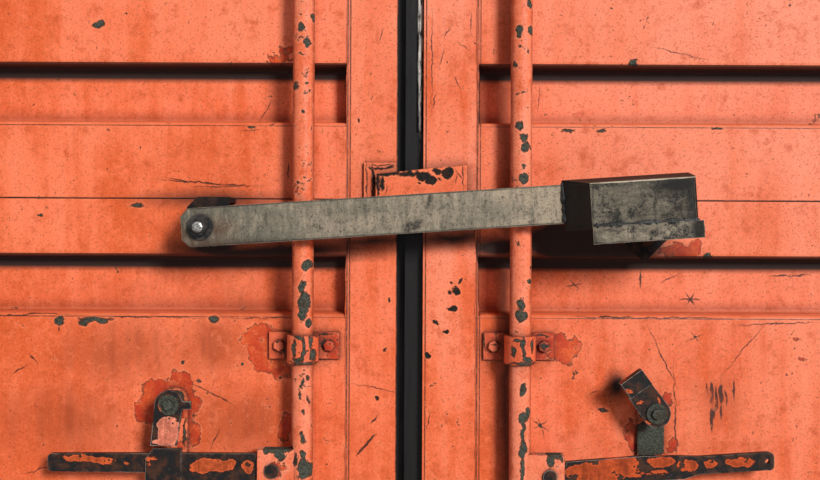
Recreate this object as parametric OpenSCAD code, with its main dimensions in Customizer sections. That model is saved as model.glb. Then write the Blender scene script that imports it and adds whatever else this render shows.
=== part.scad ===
// Door end of a freight container: the rear end frame with its pair of doors,
// their locking gear and a flat lock bar with a padlock hood across both doors.
// X runs right, Y runs back into the container and Z up. The origin is the middle
// of the sill's back face. Heights are given above the ground.

/* [End frame] */
// Width over the corner castings
frame_w = 2438; // [2400:1:2500]
// Height from the ground to the top of the castings
frame_h = 2591; // [2560:1:2896]
// Width of a corner casting
casting_w = 162; // [155:1:170]
// Depth of a corner casting, front to back
casting_d = 178; // [170:1:186]
// Height of a corner casting
casting_h = 118; // [112:1:124]
// Thickness of a casting's upright walls
casting_wall = 16; // [12:1:20]
// Thickness of a casting's top and bottom walls
casting_plate = 28; // [22:1:32]
// Width of the oval holes in a casting
casting_slot_w = 63; // [50:1:68]
// Length of the oval hole in a casting's top or bottom
top_slot_l = 124; // [100:1:126]
// Length of the oval hole in a casting's side
side_slot_l = 102; // [80:1:110]
// Length of the oval hole in a casting's front
front_slot_l = 80; // [70:1:95]
// Width of a corner post
post_w = 48; // [40:1:56]
// Depth of a corner post
post_d = 100; // [90:1:104]
// Thickness of the pressed steel of posts, sill and header
frame_wall = 6; // [4:0.5:8]
// Depth of the stop that the doors close towards
stop_d = 50; // [30:1:54]
// Width of the stop along a post
stop_w = 41; // [30:1:60]
// Height of the stop over the sill and under the header
stop_h = 25; // [20:1:35]
// Depth of the sill and the header
rail_d = 118; // [110:1:125]
// Height of the underside of the sill
sill_bottom = 15; // [5:1:30]
// Height of the top of the sill
sill_top = 150; // [140:1:165]
// Height of the header
header_h = 120; // [110:1:130]
// How far the header's top lies under the castings' tops
header_inset = 16; // [5:1:25]

/* [Doors] */
// Thickness of a door
leaf_t = 50; // [45:1:58]
// How far the doors' outer face stands in front of the frame's back
leaf_face = 110; // [104:1:114]
// Gap between the two doors
centre_gap = 42; // [36:1:50]
// Gap between a door's outer edge and the post
side_gap = 8; // [6:1:12]
// Gap over and under a door
end_gap = 10; // [8:1:14]
// Width of the left door's inner stile
left_stile_w = 80; // [60:1:90]
// Width of the right door's inner stile
right_stile_w = 86; // [60:1:96]
// Width of the outer stiles
outer_stile_w = 100; // [80:1:110]
// Height of the top and bottom rails of a door
leaf_rail_h = 100; // [80:1:120]
// Wall of the stiles and rails
tube_wall = 3.2; // [2:0.1:6]
// Thickness of the panel sheet
sheet_t = 2; // [1.2:0.1:3]
// Height of the middle of the reference groove
groove_mid = 1690; // [1680:1:1700]
// Distance from one groove to the next
groove_pitch = 306; // [300:1:312]
// Height of a groove
groove_h = 93; // [80:1:104]
// Depth of a groove
groove_d = 36; // [28:0.5:42]
// Slope of a groove's wall from front to back
groove_slope = 4; // [2:0.5:8]
// Inside radius of the bends in the sheet
bend_r = 5; // [3:0.5:7]
// Height of the lap seam between the two panel sheets
seam_h = 1522; // [1515:1:1530]
// Height of the lap behind the seam
lap_h = 44; // [30:1:56]
// Width of the open line at the seam
seam_gap = 1.6; // [1:0.1:3]
// Clear space between a door seal and the frame
seal_gap = 5; // [3:0.5:6]
// Thickness of a sealing lip
lip_t = 4; // [3:0.5:6]
// How far the lips at the centre reach past the middle
lip_overlap = 8; // [4:1:10]

/* [Hinges] */
// How far the hinge axis lies inside the frame's side
hinge_inset = 19; // [17:1:22]
// How far the hinge axis stands in front of the frame's back
hinge_front = 155; // [150:1:158]
// Height of the lowest hinge above the door's lower edge
hinge_first = 190; // [150:1:240]
// Number of hinges on a door
hinge_count = 4; // [3:1:5]
// Height of a hinge blade
blade_h = 50; // [40:1:60]
// Thickness of a hinge blade's arm
arm_t = 12; // [9:0.5:13]
// Radius of a hinge pin
hinge_pin_r = 8; // [6:0.5:10]
// Thickness of a hinge lug
lug_t = 10; // [8:1:14]

/* [Locking gear] */
// Outside radius of a lock rod
rod_r = 17; // [14:0.5:18]
// Wall of a lock rod
rod_wall = 4; // [2.5:0.5:6]
// How far the rods' axes stand in front of the frame's back
rod_front = 145; // [143:1:148]
// Distance of the left inner rod from the middle
left_rod_x = 168; // [160:1:180]
// Distance of the right inner rod from the middle
right_rod_x = 174; // [166:1:186]
// Distance of the outer rods from the middle
outer_rod_x = 870; // [840:1:890]
// Clearance between rod and guide
guide_gap = 0.5; // [0.3:0.1:0.8]
// Width of a rod guide's base plate
guide_w = 112; // [100:1:120]
// Height of a rod guide's base plate
guide_h = 43; // [36:1:50]
// Thickness of a rod guide's base plate
guide_t = 6; // [4:0.5:8]
// Height of the middle rod guides
guide_mid_h = 1288; // [1280:1:1296]
// Distance of the upper rod guides from a door's top rail
guide_drop = 135; // [110:1:160]
// Wall of a guide's strap round the rod
strap_wall = 7; // [5:0.5:9]
// Thickness of a lever
lever_t = 12; // [8:0.5:14]
// Reach of an inner lever's end from its rod's axis
lever_reach = 398; // [384:1:410]
// Reach of an outer lever's end from its rod's axis
outer_lever_reach = 380; // [366:1:392]
// Length of a lever's deep root from its rod's axis
lever_root_l = 186; // [176:1:196]
// Depth of the left lever's root below its hub's middle
left_root_low = 19; // [16:1:22]
// Height of the left lever's root above its hub's middle
left_root_high = 26; // [22:1:30]
// Depth of the right lever's root below its hub's middle
right_root_low = 14; // [12:1:18]
// Height of the right lever's root above its hub's middle
right_root_high = 22; // [18:1:26]
// Half height of an outer lever's root
outer_root = 22; // [18:1:26]
// Half height of a lever's grip
grip_r = 14; // [12:0.5:16]
// Radius of the corners at a grip's end
grip_corner = 7; // [5:0.5:9]
// Height of the middle of the right lever's grip above its hub's middle
right_grip_rise = 24.6; // [20:0.1:28]
// Radius of the hole in the right lever's end
lever_hole_r = 4; // [3:0.5:6]
// Clear space between a lever and the lip under it
lip_gap = 6; // [5:0.5:8]
// Width of the saddle on the left lever
saddle_w = 56; // [44:1:60]
// Thickness of that saddle in front of the lever
saddle_t = 4; // [2:0.5:5]
// Height of that saddle above the lever's root
saddle_rise = 8; // [4:1:9]
// Thickness of the hub's cheeks
cheek_t = 6; // [4:0.5:8]
// Height of the hub on a rod
hub_h = 68; // [56:1:74]
// Height of the left lever's hub
left_hub_h = 1095; // [1092:1:1100]
// Height of the right lever's hub
right_hub_h = 1088; // [1085:1:1092]
// Height of the outer levers' hubs
outer_hub_h = 930; // [880:1:960]
// Radius of a lever's rivet
rivet_r = 8; // [6:0.5:9]
// Reach of a cam's nose from the rod's axis
cam_reach = 44; // [38:1:46]
// Height of a cam
cam_h = 24; // [20:1:28]
// Space over and under a cam in its keeper
cam_gap = 5; // [4:0.5:8]
// Distance of a cam from the edge of the sill or header
cam_drop = 41; // [38:1:48]

/* [Lever catches] */
// Distance of the left catch's pivot from the middle
left_catch_x = 374; // [368:1:380]
// Height of the left catch's pivot
left_catch_h = 1199; // [1196:1:1206]
// Distance of the right catch's pivot from the middle
right_catch_x = 385; // [380:1:392]
// Height of the right catch's pivot
right_catch_h = 1188.5; // [1187:0.5:1194]
// Lean of the right catch, which is turned up, from straight up
right_catch_lean = 36; // [30:1:42]
// Thickness of a catch plate
catch_t = 8; // [6:0.5:10]
// Radius of the round top of a catch
catch_r = 22; // [18:0.5:24]
// Length of a catch below its pivot
catch_l = 64; // [52:1:66]
// Radius of a catch's pivot pin
catch_pin_r = 8; // [6:0.5:9]
// Width of a catch bracket
bracket_w = 42; // [36:1:48]
// Distance of an outer catch from its lever's rod
outer_catch_x = 200; // [190:1:215]

/* [Overlap plate] */
// Height of the overlap plate's lower edge
overlap_low = 1482; // [1478:1:1486]
// Height of the overlap plate at its right end
overlap_h = 95; // [88:1:100]
// Fall of the plate's top edge to the left
overlap_fall = 16; // [0:1:24]
// Reach of the plate to the left of the middle
overlap_left = 55; // [50:1:62]
// Reach of the plate to the right of the middle
overlap_right = 91; // [80:1:98]
// Thickness of the overlap plate
overlap_t = 8; // [6:0.5:10]
// Width of the pad on the left door behind the plate
pad_w = 53; // [45:1:60]
// Thickness of that pad
pad_t = 6; // [4:0.5:8]
// Clear space between the pad and the plate
pad_gap = 5; // [5:0.5:7]
// Inset of the spacer that carries the plate
spacer_inset = 8; // [6:1:12]

/* [Lock bar] */
// Height of the flat bar
bar_h = 60; // [50:1:64]
// Thickness of the flat bar
bar_t = 10; // [8:0.5:14]
// How far the bar's back stands in front of the frame's back
bar_front = 180; // [176:1:190]
// Distance of the bar's pivot from the middle, to the left
pivot_x = 322; // [312:1:330]
// Height of the bar's pivot
pivot_h = 1475; // [1470:1:1480]
// Rise of the bar to the right, in degrees
bar_tilt = 3.9; // [3:0.1:5]
// How far the bar runs past its pivot
bar_tail = 29; // [26:1:40]
// Radius of the pivot bolt
pivot_r = 9; // [7:0.5:10]
// Width of the channel that carries the pivot
channel_w = 65; // [56:1:72]
// Height of that channel
channel_h = 70; // [62:1:76]
// Height of the channel's middle above the pivot
channel_rise = 12; // [8:1:16]
// Size of the channel's cut corner
channel_cut = 16; // [8:1:20]
// Clearance round the turning pivots
pin_gap = 0.3; // [0.2:0.1:0.5]
// Distance from the pivot to the near end of the hood, along the bar
hood_start = 559; // [540:1:580]
// Length of the hood along the bar
hood_l = 193; // [180:1:210]
// How far the hood's cut end leans along the bar
hood_lean = 33; // [0:1:40]
// Depth of the hood in front of the bar
hood_d = 55; // [50:1:64]
// Thickness of the hood's plate
hood_wall = 5; // [3:0.5:6]
// Fall of the hood's top from back to front
hood_fall = 9.5; // [4:0.5:14]
// How far the hood's wall reaches below the bar
hood_drop = 12; // [6:0.5:16]
// Height of the strip along the hood's lower edge
lip_h = 26; // [20:1:34]
// Thickness of that strip
lip_plate = 5; // [4:0.5:8]
// Side of the square plate under the hood
hasp_side = 83; // [70:1:90]
// Distance of the padlock eye from the middle
hasp_x = 374; // [368:1:380]
// Thickness of the padlock eye
eye_t = 12; // [8:1:16]
// Height of the padlock eye
eye_h = 34; // [30:1:38]
// Radius of the padlock hole
eye_hole_r = 8; // [6:0.5:9]

/* [Hidden] */
$fn = 48;

LEFT = -1;
RIGHT = 1;
half_w = frame_w / 2;
origin_h = 80;
header_top = frame_h - header_inset;
header_bottom = header_top - header_h;
leaf_bottom = sill_top + end_gap;
leaf_top = header_bottom - end_gap;
leaf_edge = half_w - post_w - side_gap;
leaf_back = leaf_face - leaf_t;
hinge_x = half_w - hinge_inset;
rivet_inset = 46;
weld = 4;
paint = "#d9603a";
dark_paint = "#b04a2c";
bare_steel = "#85827a";
rubber_black = "#1b1b1c";
rust_black = "#3a322c";

// The doors' inner stiles and rods differ from left to right
function stile_w(side) = side == LEFT ? left_stile_w : right_stile_w;
function rod_x(side) = side == LEFT ? left_rod_x : right_rod_x;
function hub_mid(side) = side == LEFT ? left_hub_h : right_hub_h;
function unit(v) = v / norm(v);
function square_to(v) = [-v[1], v[0]];

// Points of an arc of radius r that rounds the corner b of the path a, b, c
function rounded(a, b, c, r, steps = 3) =
    let (u = unit(a - b),
        v = unit(c - b),
        half = acos(u * v) / 2,
        mid = b + unit(u + v) * r / sin(half),
        p = b + u * r / tan(half) - mid,
        q = b + v * r / tan(half) - mid,
        from = atan2(p[1], p[0]),
        turn = atan2(p[0] * q[1] - p[1] * q[0], p * q))
    [for (i = [0:steps]) mid + r * [cos(from + turn * i / steps), sin(from + turn * i / steps)]];

// Moves what is drawn above the ground into the part's own frame
module from_ground() translate([0, 0, -origin_h]) children();

// Draws the right-hand form, or its mirror image on the left
module sided(side) {
    if (side == LEFT) mirror([1, 0, 0]) children();
    else children();
}

// A flat outline in X and Z that stands t forward from a plane
module standing(back, t) translate([0, -back, 0]) rotate([90, 0, 0]) linear_extrude(t) children();

// An outline in Y and Z that runs along X
module along_x(start, length) translate([start, 0, 0]) rotate([90, 0, 90]) linear_extrude(length) children();

// A square tube along Z
module upright_tube(x, front, w, d, low, high, wall) difference() {
    translate([x, -front, low]) cube([w, d, high - low]);
    translate([x + wall, wall - front, low - 1]) cube([w - 2 * wall, d - 2 * wall, high - low + 2]);
}

// A square tube along X
module level_tube(x, front, length, d, low, h, wall) difference() {
    translate([x, -front, low]) cube([length, d, h]);
    translate([x - 1, wall - front, low + wall]) cube([length + 2, d - 2 * wall, h - 2 * wall]);
}

// A straight strap of thickness t from a to b, as an outline
module strap(a, b, t) {
    n = square_to(unit(b - a)) * t / 2;
    polygon([a + n, b + n, b - n, a - n]);
}

// An oval with round ends, length l along X
module oval(l, w) {
    square([l - w, w], center = true);
    for (x = [-1, 1]) translate([x * (l - w) / 2, 0]) circle(d = w);
}

// Sill: a box section with a stop behind the doors, carried over the castings to the posts
module sill() color(dark_paint) from_ground() {
    inner = half_w - casting_w;
    over = half_w - post_w;
    level_tube(-inner, rail_d, 2 * inner, rail_d, sill_bottom, sill_top - sill_bottom, frame_wall);
    for (x = [-over, inner]) {
        translate([x, -rail_d, casting_h]) cube([over - inner, frame_wall, sill_top - casting_h]);
        translate([x, -rail_d, sill_top - frame_wall]) cube([over - inner, rail_d, frame_wall]);
    }
    stop = over - stop_w;
    level_tube(-stop, stop_d, 2 * stop, stop_d, sill_top - frame_wall, stop_h + frame_wall, frame_wall);
}

// Header: the same section turned over
module header() color(dark_paint) from_ground() {
    inner = half_w - casting_w;
    over = half_w - post_w;
    low = frame_h - casting_h;
    level_tube(-inner, rail_d, 2 * inner, rail_d, header_bottom, header_h, frame_wall);
    for (x = [-over, inner]) {
        translate([x, -rail_d, header_bottom]) cube([over - inner, frame_wall, low - header_bottom]);
        translate([x, -rail_d, header_bottom]) cube([over - inner, rail_d, frame_wall]);
    }
    stop = over - stop_w;
    level_tube(-stop, stop_d, 2 * stop, stop_d, header_bottom - stop_h, stop_h + frame_wall, frame_wall);
}

// Corner post: a pressed box with the door stop folded inwards at its back
module post(side) color(paint) from_ground() sided(side) {
    low = casting_h;
    high = frame_h - casting_h;
    x = half_w - post_w;
    upright_tube(x, post_d, post_w, post_d, low, high, frame_wall);
    upright_tube(x - stop_w, stop_d, stop_w + frame_wall, stop_d, sill_top, header_bottom, frame_wall);
}

// Corner casting with its chamber and three oval holes, drawn with its open plate down
module casting() difference() {
    x = half_w - casting_w;
    translate([x, -casting_d, 0]) cube([casting_w, casting_d, casting_h]);
    translate([x + casting_wall, casting_wall - casting_d, casting_plate])
        cube([casting_w - 2 * casting_wall, casting_d - 2 * casting_wall, casting_h - 2 * casting_plate]);
    translate([x + casting_w / 2, -casting_d / 2, -1]) rotate([0, 0, 90])
        linear_extrude(casting_plate + 2) oval(top_slot_l, casting_slot_w);
    translate([half_w - casting_wall - 1, -casting_d / 2, casting_h / 2]) rotate([90, 0, 90])
        linear_extrude(casting_wall + 2) oval(side_slot_l, casting_slot_w);
    translate([x + casting_w / 2, casting_wall + 1 - casting_d, casting_h / 2]) rotate([90, 0, 0])
        linear_extrude(casting_wall + 2) oval(front_slot_l, casting_slot_w);
}

module bottom_castings() color(dark_paint) from_ground() for (side = [LEFT, RIGHT]) sided(side) casting();

module top_castings() color(dark_paint) from_ground() for (side = [LEFT, RIGHT])
    sided(side) translate([0, 0, frame_h]) mirror([0, 0, 1]) casting();

// Keeper: two ears between cheeks, the upper ear forked round the rod. Z = 0 is the cam's middle
module keeper() {
    ear = 10;
    cheek = 8;
    wide = cam_reach + 2 * cheek;
    forward = rod_front + rod_r + 8;
    for (x = [-wide, wide - cheek]) translate([x, -forward, -cam_h / 2 - cam_gap - ear])
        cube([cheek, forward - rail_d, cam_h + 2 * cam_gap + 2 * ear]);
    translate([-wide, -forward, -cam_h / 2 - cam_gap - ear]) cube([2 * wide, forward - rail_d, ear]);
    difference() {
        translate([-wide, -forward, cam_h / 2 + cam_gap]) cube([2 * wide, forward - rail_d, ear]);
        translate([0, -rod_front, 0]) cylinder(r = rod_r + cam_gap, h = cam_h + 2 * ear);
        translate([-rod_r - cam_gap, -forward - 1, 0])
            cube([2 * (rod_r + cam_gap), forward - rod_front + 1, cam_h + 2 * ear]);
    }
}

KEEPER_XS = [-outer_rod_x, -left_rod_x, right_rod_x, outer_rod_x];
cam_low = sill_top - cam_drop;
cam_high = header_bottom + cam_drop;

module bottom_keepers() color(paint) from_ground()
    for (x = KEEPER_XS) translate([x, 0, cam_low]) keeper();

module top_keepers() color(paint) from_ground()
    for (x = KEEPER_XS) translate([x, 0, cam_high]) mirror([0, 0, 1]) keeper();

// Heights of a door's hinges, evenly spaced between the lowest and the highest
hinge_last = leaf_top - leaf_bottom - hinge_first;
HINGE_HS = [for (i = [0:hinge_count - 1])
    leaf_bottom + hinge_first + i * (hinge_last - hinge_first) / (hinge_count - 1)];
hinge_run = 2;
eye_r = hinge_pin_r + 7;

// Hinge lugs: two plates on the post's front with the pin between them
module hinge_lugs(side) color(paint) from_ground() sided(side) for (h = HINGE_HS) {
    for (z = [h - blade_h / 2 - hinge_run - lug_t, h + blade_h / 2 + hinge_run]) translate([0, 0, z]) {
        translate([hinge_x, -hinge_front, 0]) cylinder(r = eye_r, h = lug_t);
        translate([hinge_x - eye_r, -hinge_front, 0]) cube([2 * eye_r, hinge_front - post_d, lug_t]);
    }
    translate([hinge_x, -hinge_front, h - blade_h / 2 - hinge_run - lug_t - 3])
        cylinder(r = hinge_pin_r, h = blade_h + 2 * hinge_run + 2 * lug_t + 6);
}

// Hinge blade: an eye on the pin, a slanting arm and a tapered plate on the door's outer stile
module hinge_blade() {
    pad_t = 8;
    pad_l = 78;
    pin = [hinge_x, -hinge_front];
    root = [leaf_edge - 17, -leaf_face - arm_t / 2];
    difference() {
        union() {
            translate([0, 0, -blade_h / 2]) linear_extrude(blade_h) strap(pin, root, arm_t);
            translate([pin[0], pin[1], -blade_h / 2]) cylinder(r = eye_r, h = blade_h);
        }
        translate([pin[0], pin[1], -blade_h]) cylinder(r = hinge_pin_r + pin_gap, h = 2 * blade_h);
        translate([root[0] - 1, -leaf_face, -blade_h]) cube([eye_r, leaf_t, 2 * blade_h]);
    }
    standing(leaf_face, pad_t) polygon([[root[0] + 2, -blade_h / 2], [root[0] + 2, blade_h / 2],
        [root[0] - pad_l, blade_h / 3], [root[0] - pad_l, -blade_h / 3]]);
}

module hinge_blades(side) color(paint) from_ground() sided(side)
    for (h = HINGE_HS) translate([0, 0, h]) hinge_blade();

// Grooves of a panel, from the bottom up, as steps from the reference groove
GROOVE_STEPS = [-4, -3, -1, 0, 1];
bend_shift = tan((90 - atan(groove_slope / groove_d)) / 2);

// Four corners of a groove on the sheet's front (back = 0) or on its back (back = sheet_t)
function groove_corners(mid, back) =
    let (crest = back - leaf_face,
        floor_y = crest + groove_d,
        low = mid - groove_h / 2 - bend_shift * back,
        high = mid + groove_h / 2 + bend_shift * back)
    [[crest, low], [floor_y, low + groove_slope], [floor_y, high - groove_slope], [crest, high]];

// The groove with its four bends rounded
function groove_path(mid, back) =
    let (c = groove_corners(mid, back),
        below = [c[0][0], c[0][1] - groove_d],
        above = [c[3][0], c[3][1] + groove_d],
        crest_r = bend_r + sheet_t - back,
        floor_r = bend_r + back)
    concat(rounded(below, c[0], c[1], crest_r), rounded(c[0], c[1], c[2], floor_r),
        rounded(c[1], c[2], c[3], floor_r), rounded(c[2], c[3], above, crest_r));

// The grooves below the lap seam, or those above it
function grooves(back, above) = [for (k = GROOVE_STEPS) if ((k >= 0) == above)
    each groove_path(groove_mid + k * groove_pitch, back)];

// Panel: a pressed sheet with level grooves and a lap seam, between the rails
module panel(side) color(paint) from_ground() sided(side) {
    start = centre_gap / 2 + stile_w(side);
    low = leaf_bottom + leaf_rail_h;
    high = leaf_top - leaf_rail_h;
    front = -leaf_face;
    behind = front + sheet_t;
    seam = [[front, seam_h - seam_gap], [behind, seam_h - seam_gap], [behind, seam_h], [front, seam_h]];
    lap = [[behind, seam_h - lap_h / 2], [behind + sheet_t, seam_h - lap_h / 2],
        [behind + sheet_t, seam_h + lap_h / 2], [behind, seam_h + lap_h / 2]];
    outer = concat([[front, low]], grooves(0, false), seam, grooves(0, true), [[front, high]]);
    inner = concat([[behind, low]], grooves(sheet_t, false), lap, grooves(sheet_t, true), [[behind, high]]);
    along_x(start, leaf_edge - outer_stile_w - start)
        polygon(concat(outer, [for (i = [len(inner) - 1:-1:0]) inner[i]]));
}

module inner_stile(side) color(paint) from_ground() sided(side)
    upright_tube(centre_gap / 2, leaf_face, stile_w(side), leaf_t, leaf_bottom, leaf_top, tube_wall);

module outer_stile(side) color(paint) from_ground() sided(side)
    upright_tube(leaf_edge - outer_stile_w, leaf_face, outer_stile_w, leaf_t, leaf_bottom, leaf_top,
        tube_wall);

module leaf_rails(side) color(paint) from_ground() sided(side) {
    start = centre_gap / 2 + stile_w(side);
    for (low = [leaf_bottom, leaf_top - leaf_rail_h])
        level_tube(start, leaf_face, leaf_edge - outer_stile_w - start, leaf_t, low, leaf_rail_h, tube_wall);
}

// Door seal: a strip round the outer three edges and a lip that reaches over the centre gap
module door_seal(side) color(rubber_black) from_ground() sided(side) {
    strip_w = 12;
    front = leaf_back + 4 + strip_w;
    proud = end_gap - seal_gap;
    wide = side_gap - seal_gap;
    x = centre_gap / 2;
    translate([leaf_edge, -front, leaf_bottom]) cube([wide, strip_w, leaf_top - leaf_bottom]);
    for (z = [leaf_bottom - proud, leaf_top])
        translate([x, -front, z]) cube([leaf_edge + wide - x, strip_w, proud]);
    lip_front = side == LEFT ? leaf_back + 18 : leaf_face - 15;
    translate([-lip_overlap, -lip_front, leaf_bottom]) cube([x + lip_overlap, lip_t, leaf_top - leaf_bottom]);
    bulb_r = 5;
    bulb_low = overlap_low + overlap_h + 55;
    if (side == RIGHT) translate([x - bulb_r - 1, -lip_front, bulb_low])
        cylinder(r = bulb_r, h = leaf_top - bulb_low);
}

// Cam on a rod's end: a collar with a nose that points away from the middle
module cam() {
    collar_r = rod_r + 3;
    nose_r = 10;
    translate([0, 0, -cam_h / 2]) linear_extrude(cam_h) {
        circle(r = collar_r);
        translate([0, -nose_r]) square([cam_reach - nose_r, 2 * nose_r]);
        translate([cam_reach - nose_r, 0]) circle(r = nose_r);
    }
}

hub_reach = rivet_inset + 23;

// Hub of a lever: two cheeks on the rod with a web between them
module hub() {
    web = 8;
    gap = lever_t + 1;
    difference() {
        translate([0, -gap / 2 - cheek_t, -hub_h / 2]) cube([hub_reach, gap + 2 * cheek_t, hub_h]);
        translate([rod_r + web, -gap / 2, -hub_h]) cube([hub_reach, gap, 2 * hub_h]);
        translate([rivet_inset, 20, 0]) rotate([90, 0, 0]) cylinder(r = rivet_r + pin_gap, h = 40);
        cylinder(r = rod_r - rod_wall, h = 2 * hub_h, center = true);
    }
}

// Lock rod: a tube with a cam at each end and its hub, drawn round the axis of the rod
module lock_rod(hub_z) {
    difference() {
        translate([0, 0, cam_low - cam_h / 2]) cylinder(r = rod_r, h = cam_high - cam_low + cam_h);
        translate([0, 0, cam_low + cam_h]) cylinder(r = rod_r - rod_wall, h = cam_high - cam_low - 2 * cam_h);
    }
    for (z = [cam_low, cam_high]) translate([0, 0, z]) cam();
    translate([0, 0, hub_z]) hub();
}

module inner_rod(side) color(paint) from_ground() sided(side)
    translate([rod_x(side), -rod_front, 0]) lock_rod(hub_mid(side));

module outer_rod(side) color(paint) from_ground() sided(side)
    translate([outer_rod_x, -rod_front, 0]) mirror([1, 0, 0]) lock_rod(outer_hub_h);

// Rivet that holds a lever between its hub's cheeks
module lever_rivet() {
    outside = lever_t / 2 + 0.5 + cheek_t;
    translate([0, outside + 4, 0]) rotate([90, 0, 0]) cylinder(r = rivet_r, h = 2 * outside + 8);
    for (y = [outside + 4, -outside]) translate([0, y, 0]) rotate([90, 0, 0]) cylinder(r = rivet_r + 3, h = 4);
}

lever_start = hub_reach + 3;

// Outline of a grip's end with its two rounded corners, from its low edge to its high edge
function grip_end(end) =
    let (low_corner = end + [grip_r, -grip_r],
        high_corner = end + [grip_r, grip_r])
    concat([end - [0, grip_r]], rounded(end - [0, grip_r], low_corner, high_corner, grip_corner),
        rounded(low_corner, high_corner, end + [0, grip_r], grip_corner), [end + [0, grip_r]]);

// A lever in its hub: rivet, tongue and the flat blade, whose outline runs from a root
// with the given low and high edges past shoulder points to the grip at its end.
// Its X runs from the rod's axis and its Z from the middle of the hub
module lever(low, high, below, above, end) {
    translate([rivet_inset, 0, 0]) lever_rivet();
    standing(-lever_t / 2, lever_t) {
        translate([rod_r + 12, -hub_h / 4]) square([rivet_inset + 10, hub_h / 2]);
        polygon(concat([[lever_start, -low]], below, grip_end(end), above, [[lever_start, high]]));
    }
}

// Left lever: a flat bar that narrows to its grip, with a saddle where its catch hooks over it
module left_lever() color(rust_black) from_ground() sided(LEFT)
    translate([left_rod_x, -rod_front, left_hub_h]) {
        end = [lever_reach - grip_r, left_root_high - 1 - grip_r];
        grip_low = end[1] - grip_r;
        translate([left_catch_x - left_rod_x - 18, 0, 0]) standing(0, lever_t / 2 + saddle_t)
            polygon([[0, -left_root_low], [saddle_w - 4, -left_root_low], [saddle_w, 4 - left_root_low],
                [saddle_w, left_root_high - 8], [saddle_w - 12, left_root_high + saddle_rise],
                [0, left_root_high + saddle_rise]]);
        lever(left_root_low, left_root_high,
            [[lever_root_l, -left_root_low], [lever_root_l + 20, grip_low - 4], [lever_root_l + 54, grip_low - 1]],
            [[lever_root_l + 6, left_root_high]], end);
    }

// Right lever: it rises slowly to its grip, which has a hole in its end
module right_lever() color(rust_black) from_ground() sided(RIGHT)
    translate([right_rod_x, -rod_front, right_hub_h]) difference() {
        end = [lever_reach - grip_r, right_grip_rise];
        neck = lever_root_l + 95;
        belly = right_root_high + 10;
        lever(right_root_low, right_root_high,
            [[neck - 55, 8 - right_root_low], [neck - 25, 10 - right_root_low], [neck, 18 - right_root_low]],
            [[neck, belly - 0.5], [neck - 28, belly], [lever_root_l + 8, belly]], end);
        translate([end[0] + 4, lever_t, end[1]]) rotate([90, 0, 0]) cylinder(r = lever_hole_r, h = 2 * lever_t);
    }

// Outer levers point towards the middle
module outer_lever(side) color(rust_black) from_ground() sided(side)
    translate([outer_rod_x, -rod_front, outer_hub_h]) mirror([1, 0, 0]) {
        end = [outer_lever_reach - grip_r, grip_r / 2];
        shoulder = lever_root_l + 44;
        lever(outer_root, outer_root, [[lever_root_l, -outer_root], [shoulder, end[1] - grip_r]],
            [[shoulder, end[1] + grip_r], [lever_root_l, outer_root]], end);
    }

// Rod guide: a base plate with a round strap over the rod, set a little low on the plate
module rod_guide() {
    strap_r = rod_r + strap_wall;
    strap_h = guide_h + 1;
    strap_low = -strap_h / 2 - 3;
    difference() {
        union() {
            translate([-guide_w / 2, -leaf_face - guide_t, -guide_h / 2]) cube([guide_w, guide_t, guide_h]);
            translate([0, -rod_front, strap_low]) cylinder(r = strap_r, h = strap_h);
            translate([-strap_r, -rod_front, strap_low]) cube([2 * strap_r, rod_front - leaf_face, strap_h]);
        }
        translate([0, -rod_front, 0]) cylinder(r = rod_r + guide_gap, h = 2 * strap_h, center = true);
    }
}

// Heights of the guides: on the two rails and on the flat stretches of the panel
GUIDE_HS = [leaf_bottom + leaf_rail_h / 2, groove_mid - 3.5 * groove_pitch, guide_mid_h,
    leaf_top - leaf_rail_h - guide_drop, leaf_top - leaf_rail_h / 2];

module rod_guides(side) color(paint) from_ground() sided(side)
    for (x = [rod_x(side), outer_rod_x]) for (h = GUIDE_HS) translate([x, 0, h]) rod_guide();

catch_back = rod_front + lever_t / 2 + 5;

// Catch bracket: a plate on the door, a boss with the catch's pin and a lip under the lever
module catch_bracket(pin_h, lip_top) {
    plate_t = 8;
    boss_r = 13;
    low = lip_top - plate_t;
    standing(leaf_face, plate_t) {
        translate([-bracket_w / 2, low]) square([bracket_w, pin_h - low]);
        translate([0, pin_h]) circle(d = bracket_w);
    }
    translate([-bracket_w / 2, -catch_back, low]) cube([bracket_w, catch_back - leaf_face, plate_t]);
    translate([0, -leaf_face, pin_h]) rotate([90, 0, 0]) {
        cylinder(r = boss_r, h = catch_back - pin_gap - leaf_face);
        cylinder(r = catch_pin_r, h = catch_back + catch_t + 8 - leaf_face);
        translate([0, 0, catch_back + catch_t + pin_gap - leaf_face]) cylinder(r = catch_pin_r + 8, h = 3);
    }
}

// Each lip lies clear below its lever. The right lever has risen a little where it passes its lip
right_lip_rise = 6;
left_lip_top = left_hub_h - left_root_low - lip_gap;
right_lip_top = right_hub_h - right_root_low + right_lip_rise - lip_gap;

// Bracket of an outer lever, with its catch hanging on the pin
module outer_catch() translate([outer_rod_x - outer_catch_x, 0, 0]) {
    pin_h = outer_hub_h + outer_root + catch_l + catch_r - 4;
    catch_bracket(pin_h, outer_hub_h - outer_root - lip_gap);
    translate([0, 0, pin_h]) standing(catch_back, catch_t) catch_plate(catch_l, 0);
}

module left_catch_bracket() color(paint) from_ground() sided(LEFT) {
    translate([left_catch_x, 0, 0]) catch_bracket(left_catch_h, left_lip_top);
    outer_catch();
}

module right_catch_bracket() color(paint) from_ground() sided(RIGHT) {
    translate([right_catch_x, 0, 0]) catch_bracket(right_catch_h, right_lip_top);
    outer_catch();
}

// Catch plate with its bore. It hangs down from the pin, with its end shifted by lean_x
module catch_plate(length, lean_x) difference() {
    union() {
        circle(r = catch_r);
        polygon([[-catch_r, 0], [catch_r, 0], [lean_x + catch_r - 2, -length], [lean_x - catch_r + 2, -length]]);
    }
    circle(r = catch_pin_r + pin_gap);
}

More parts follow.
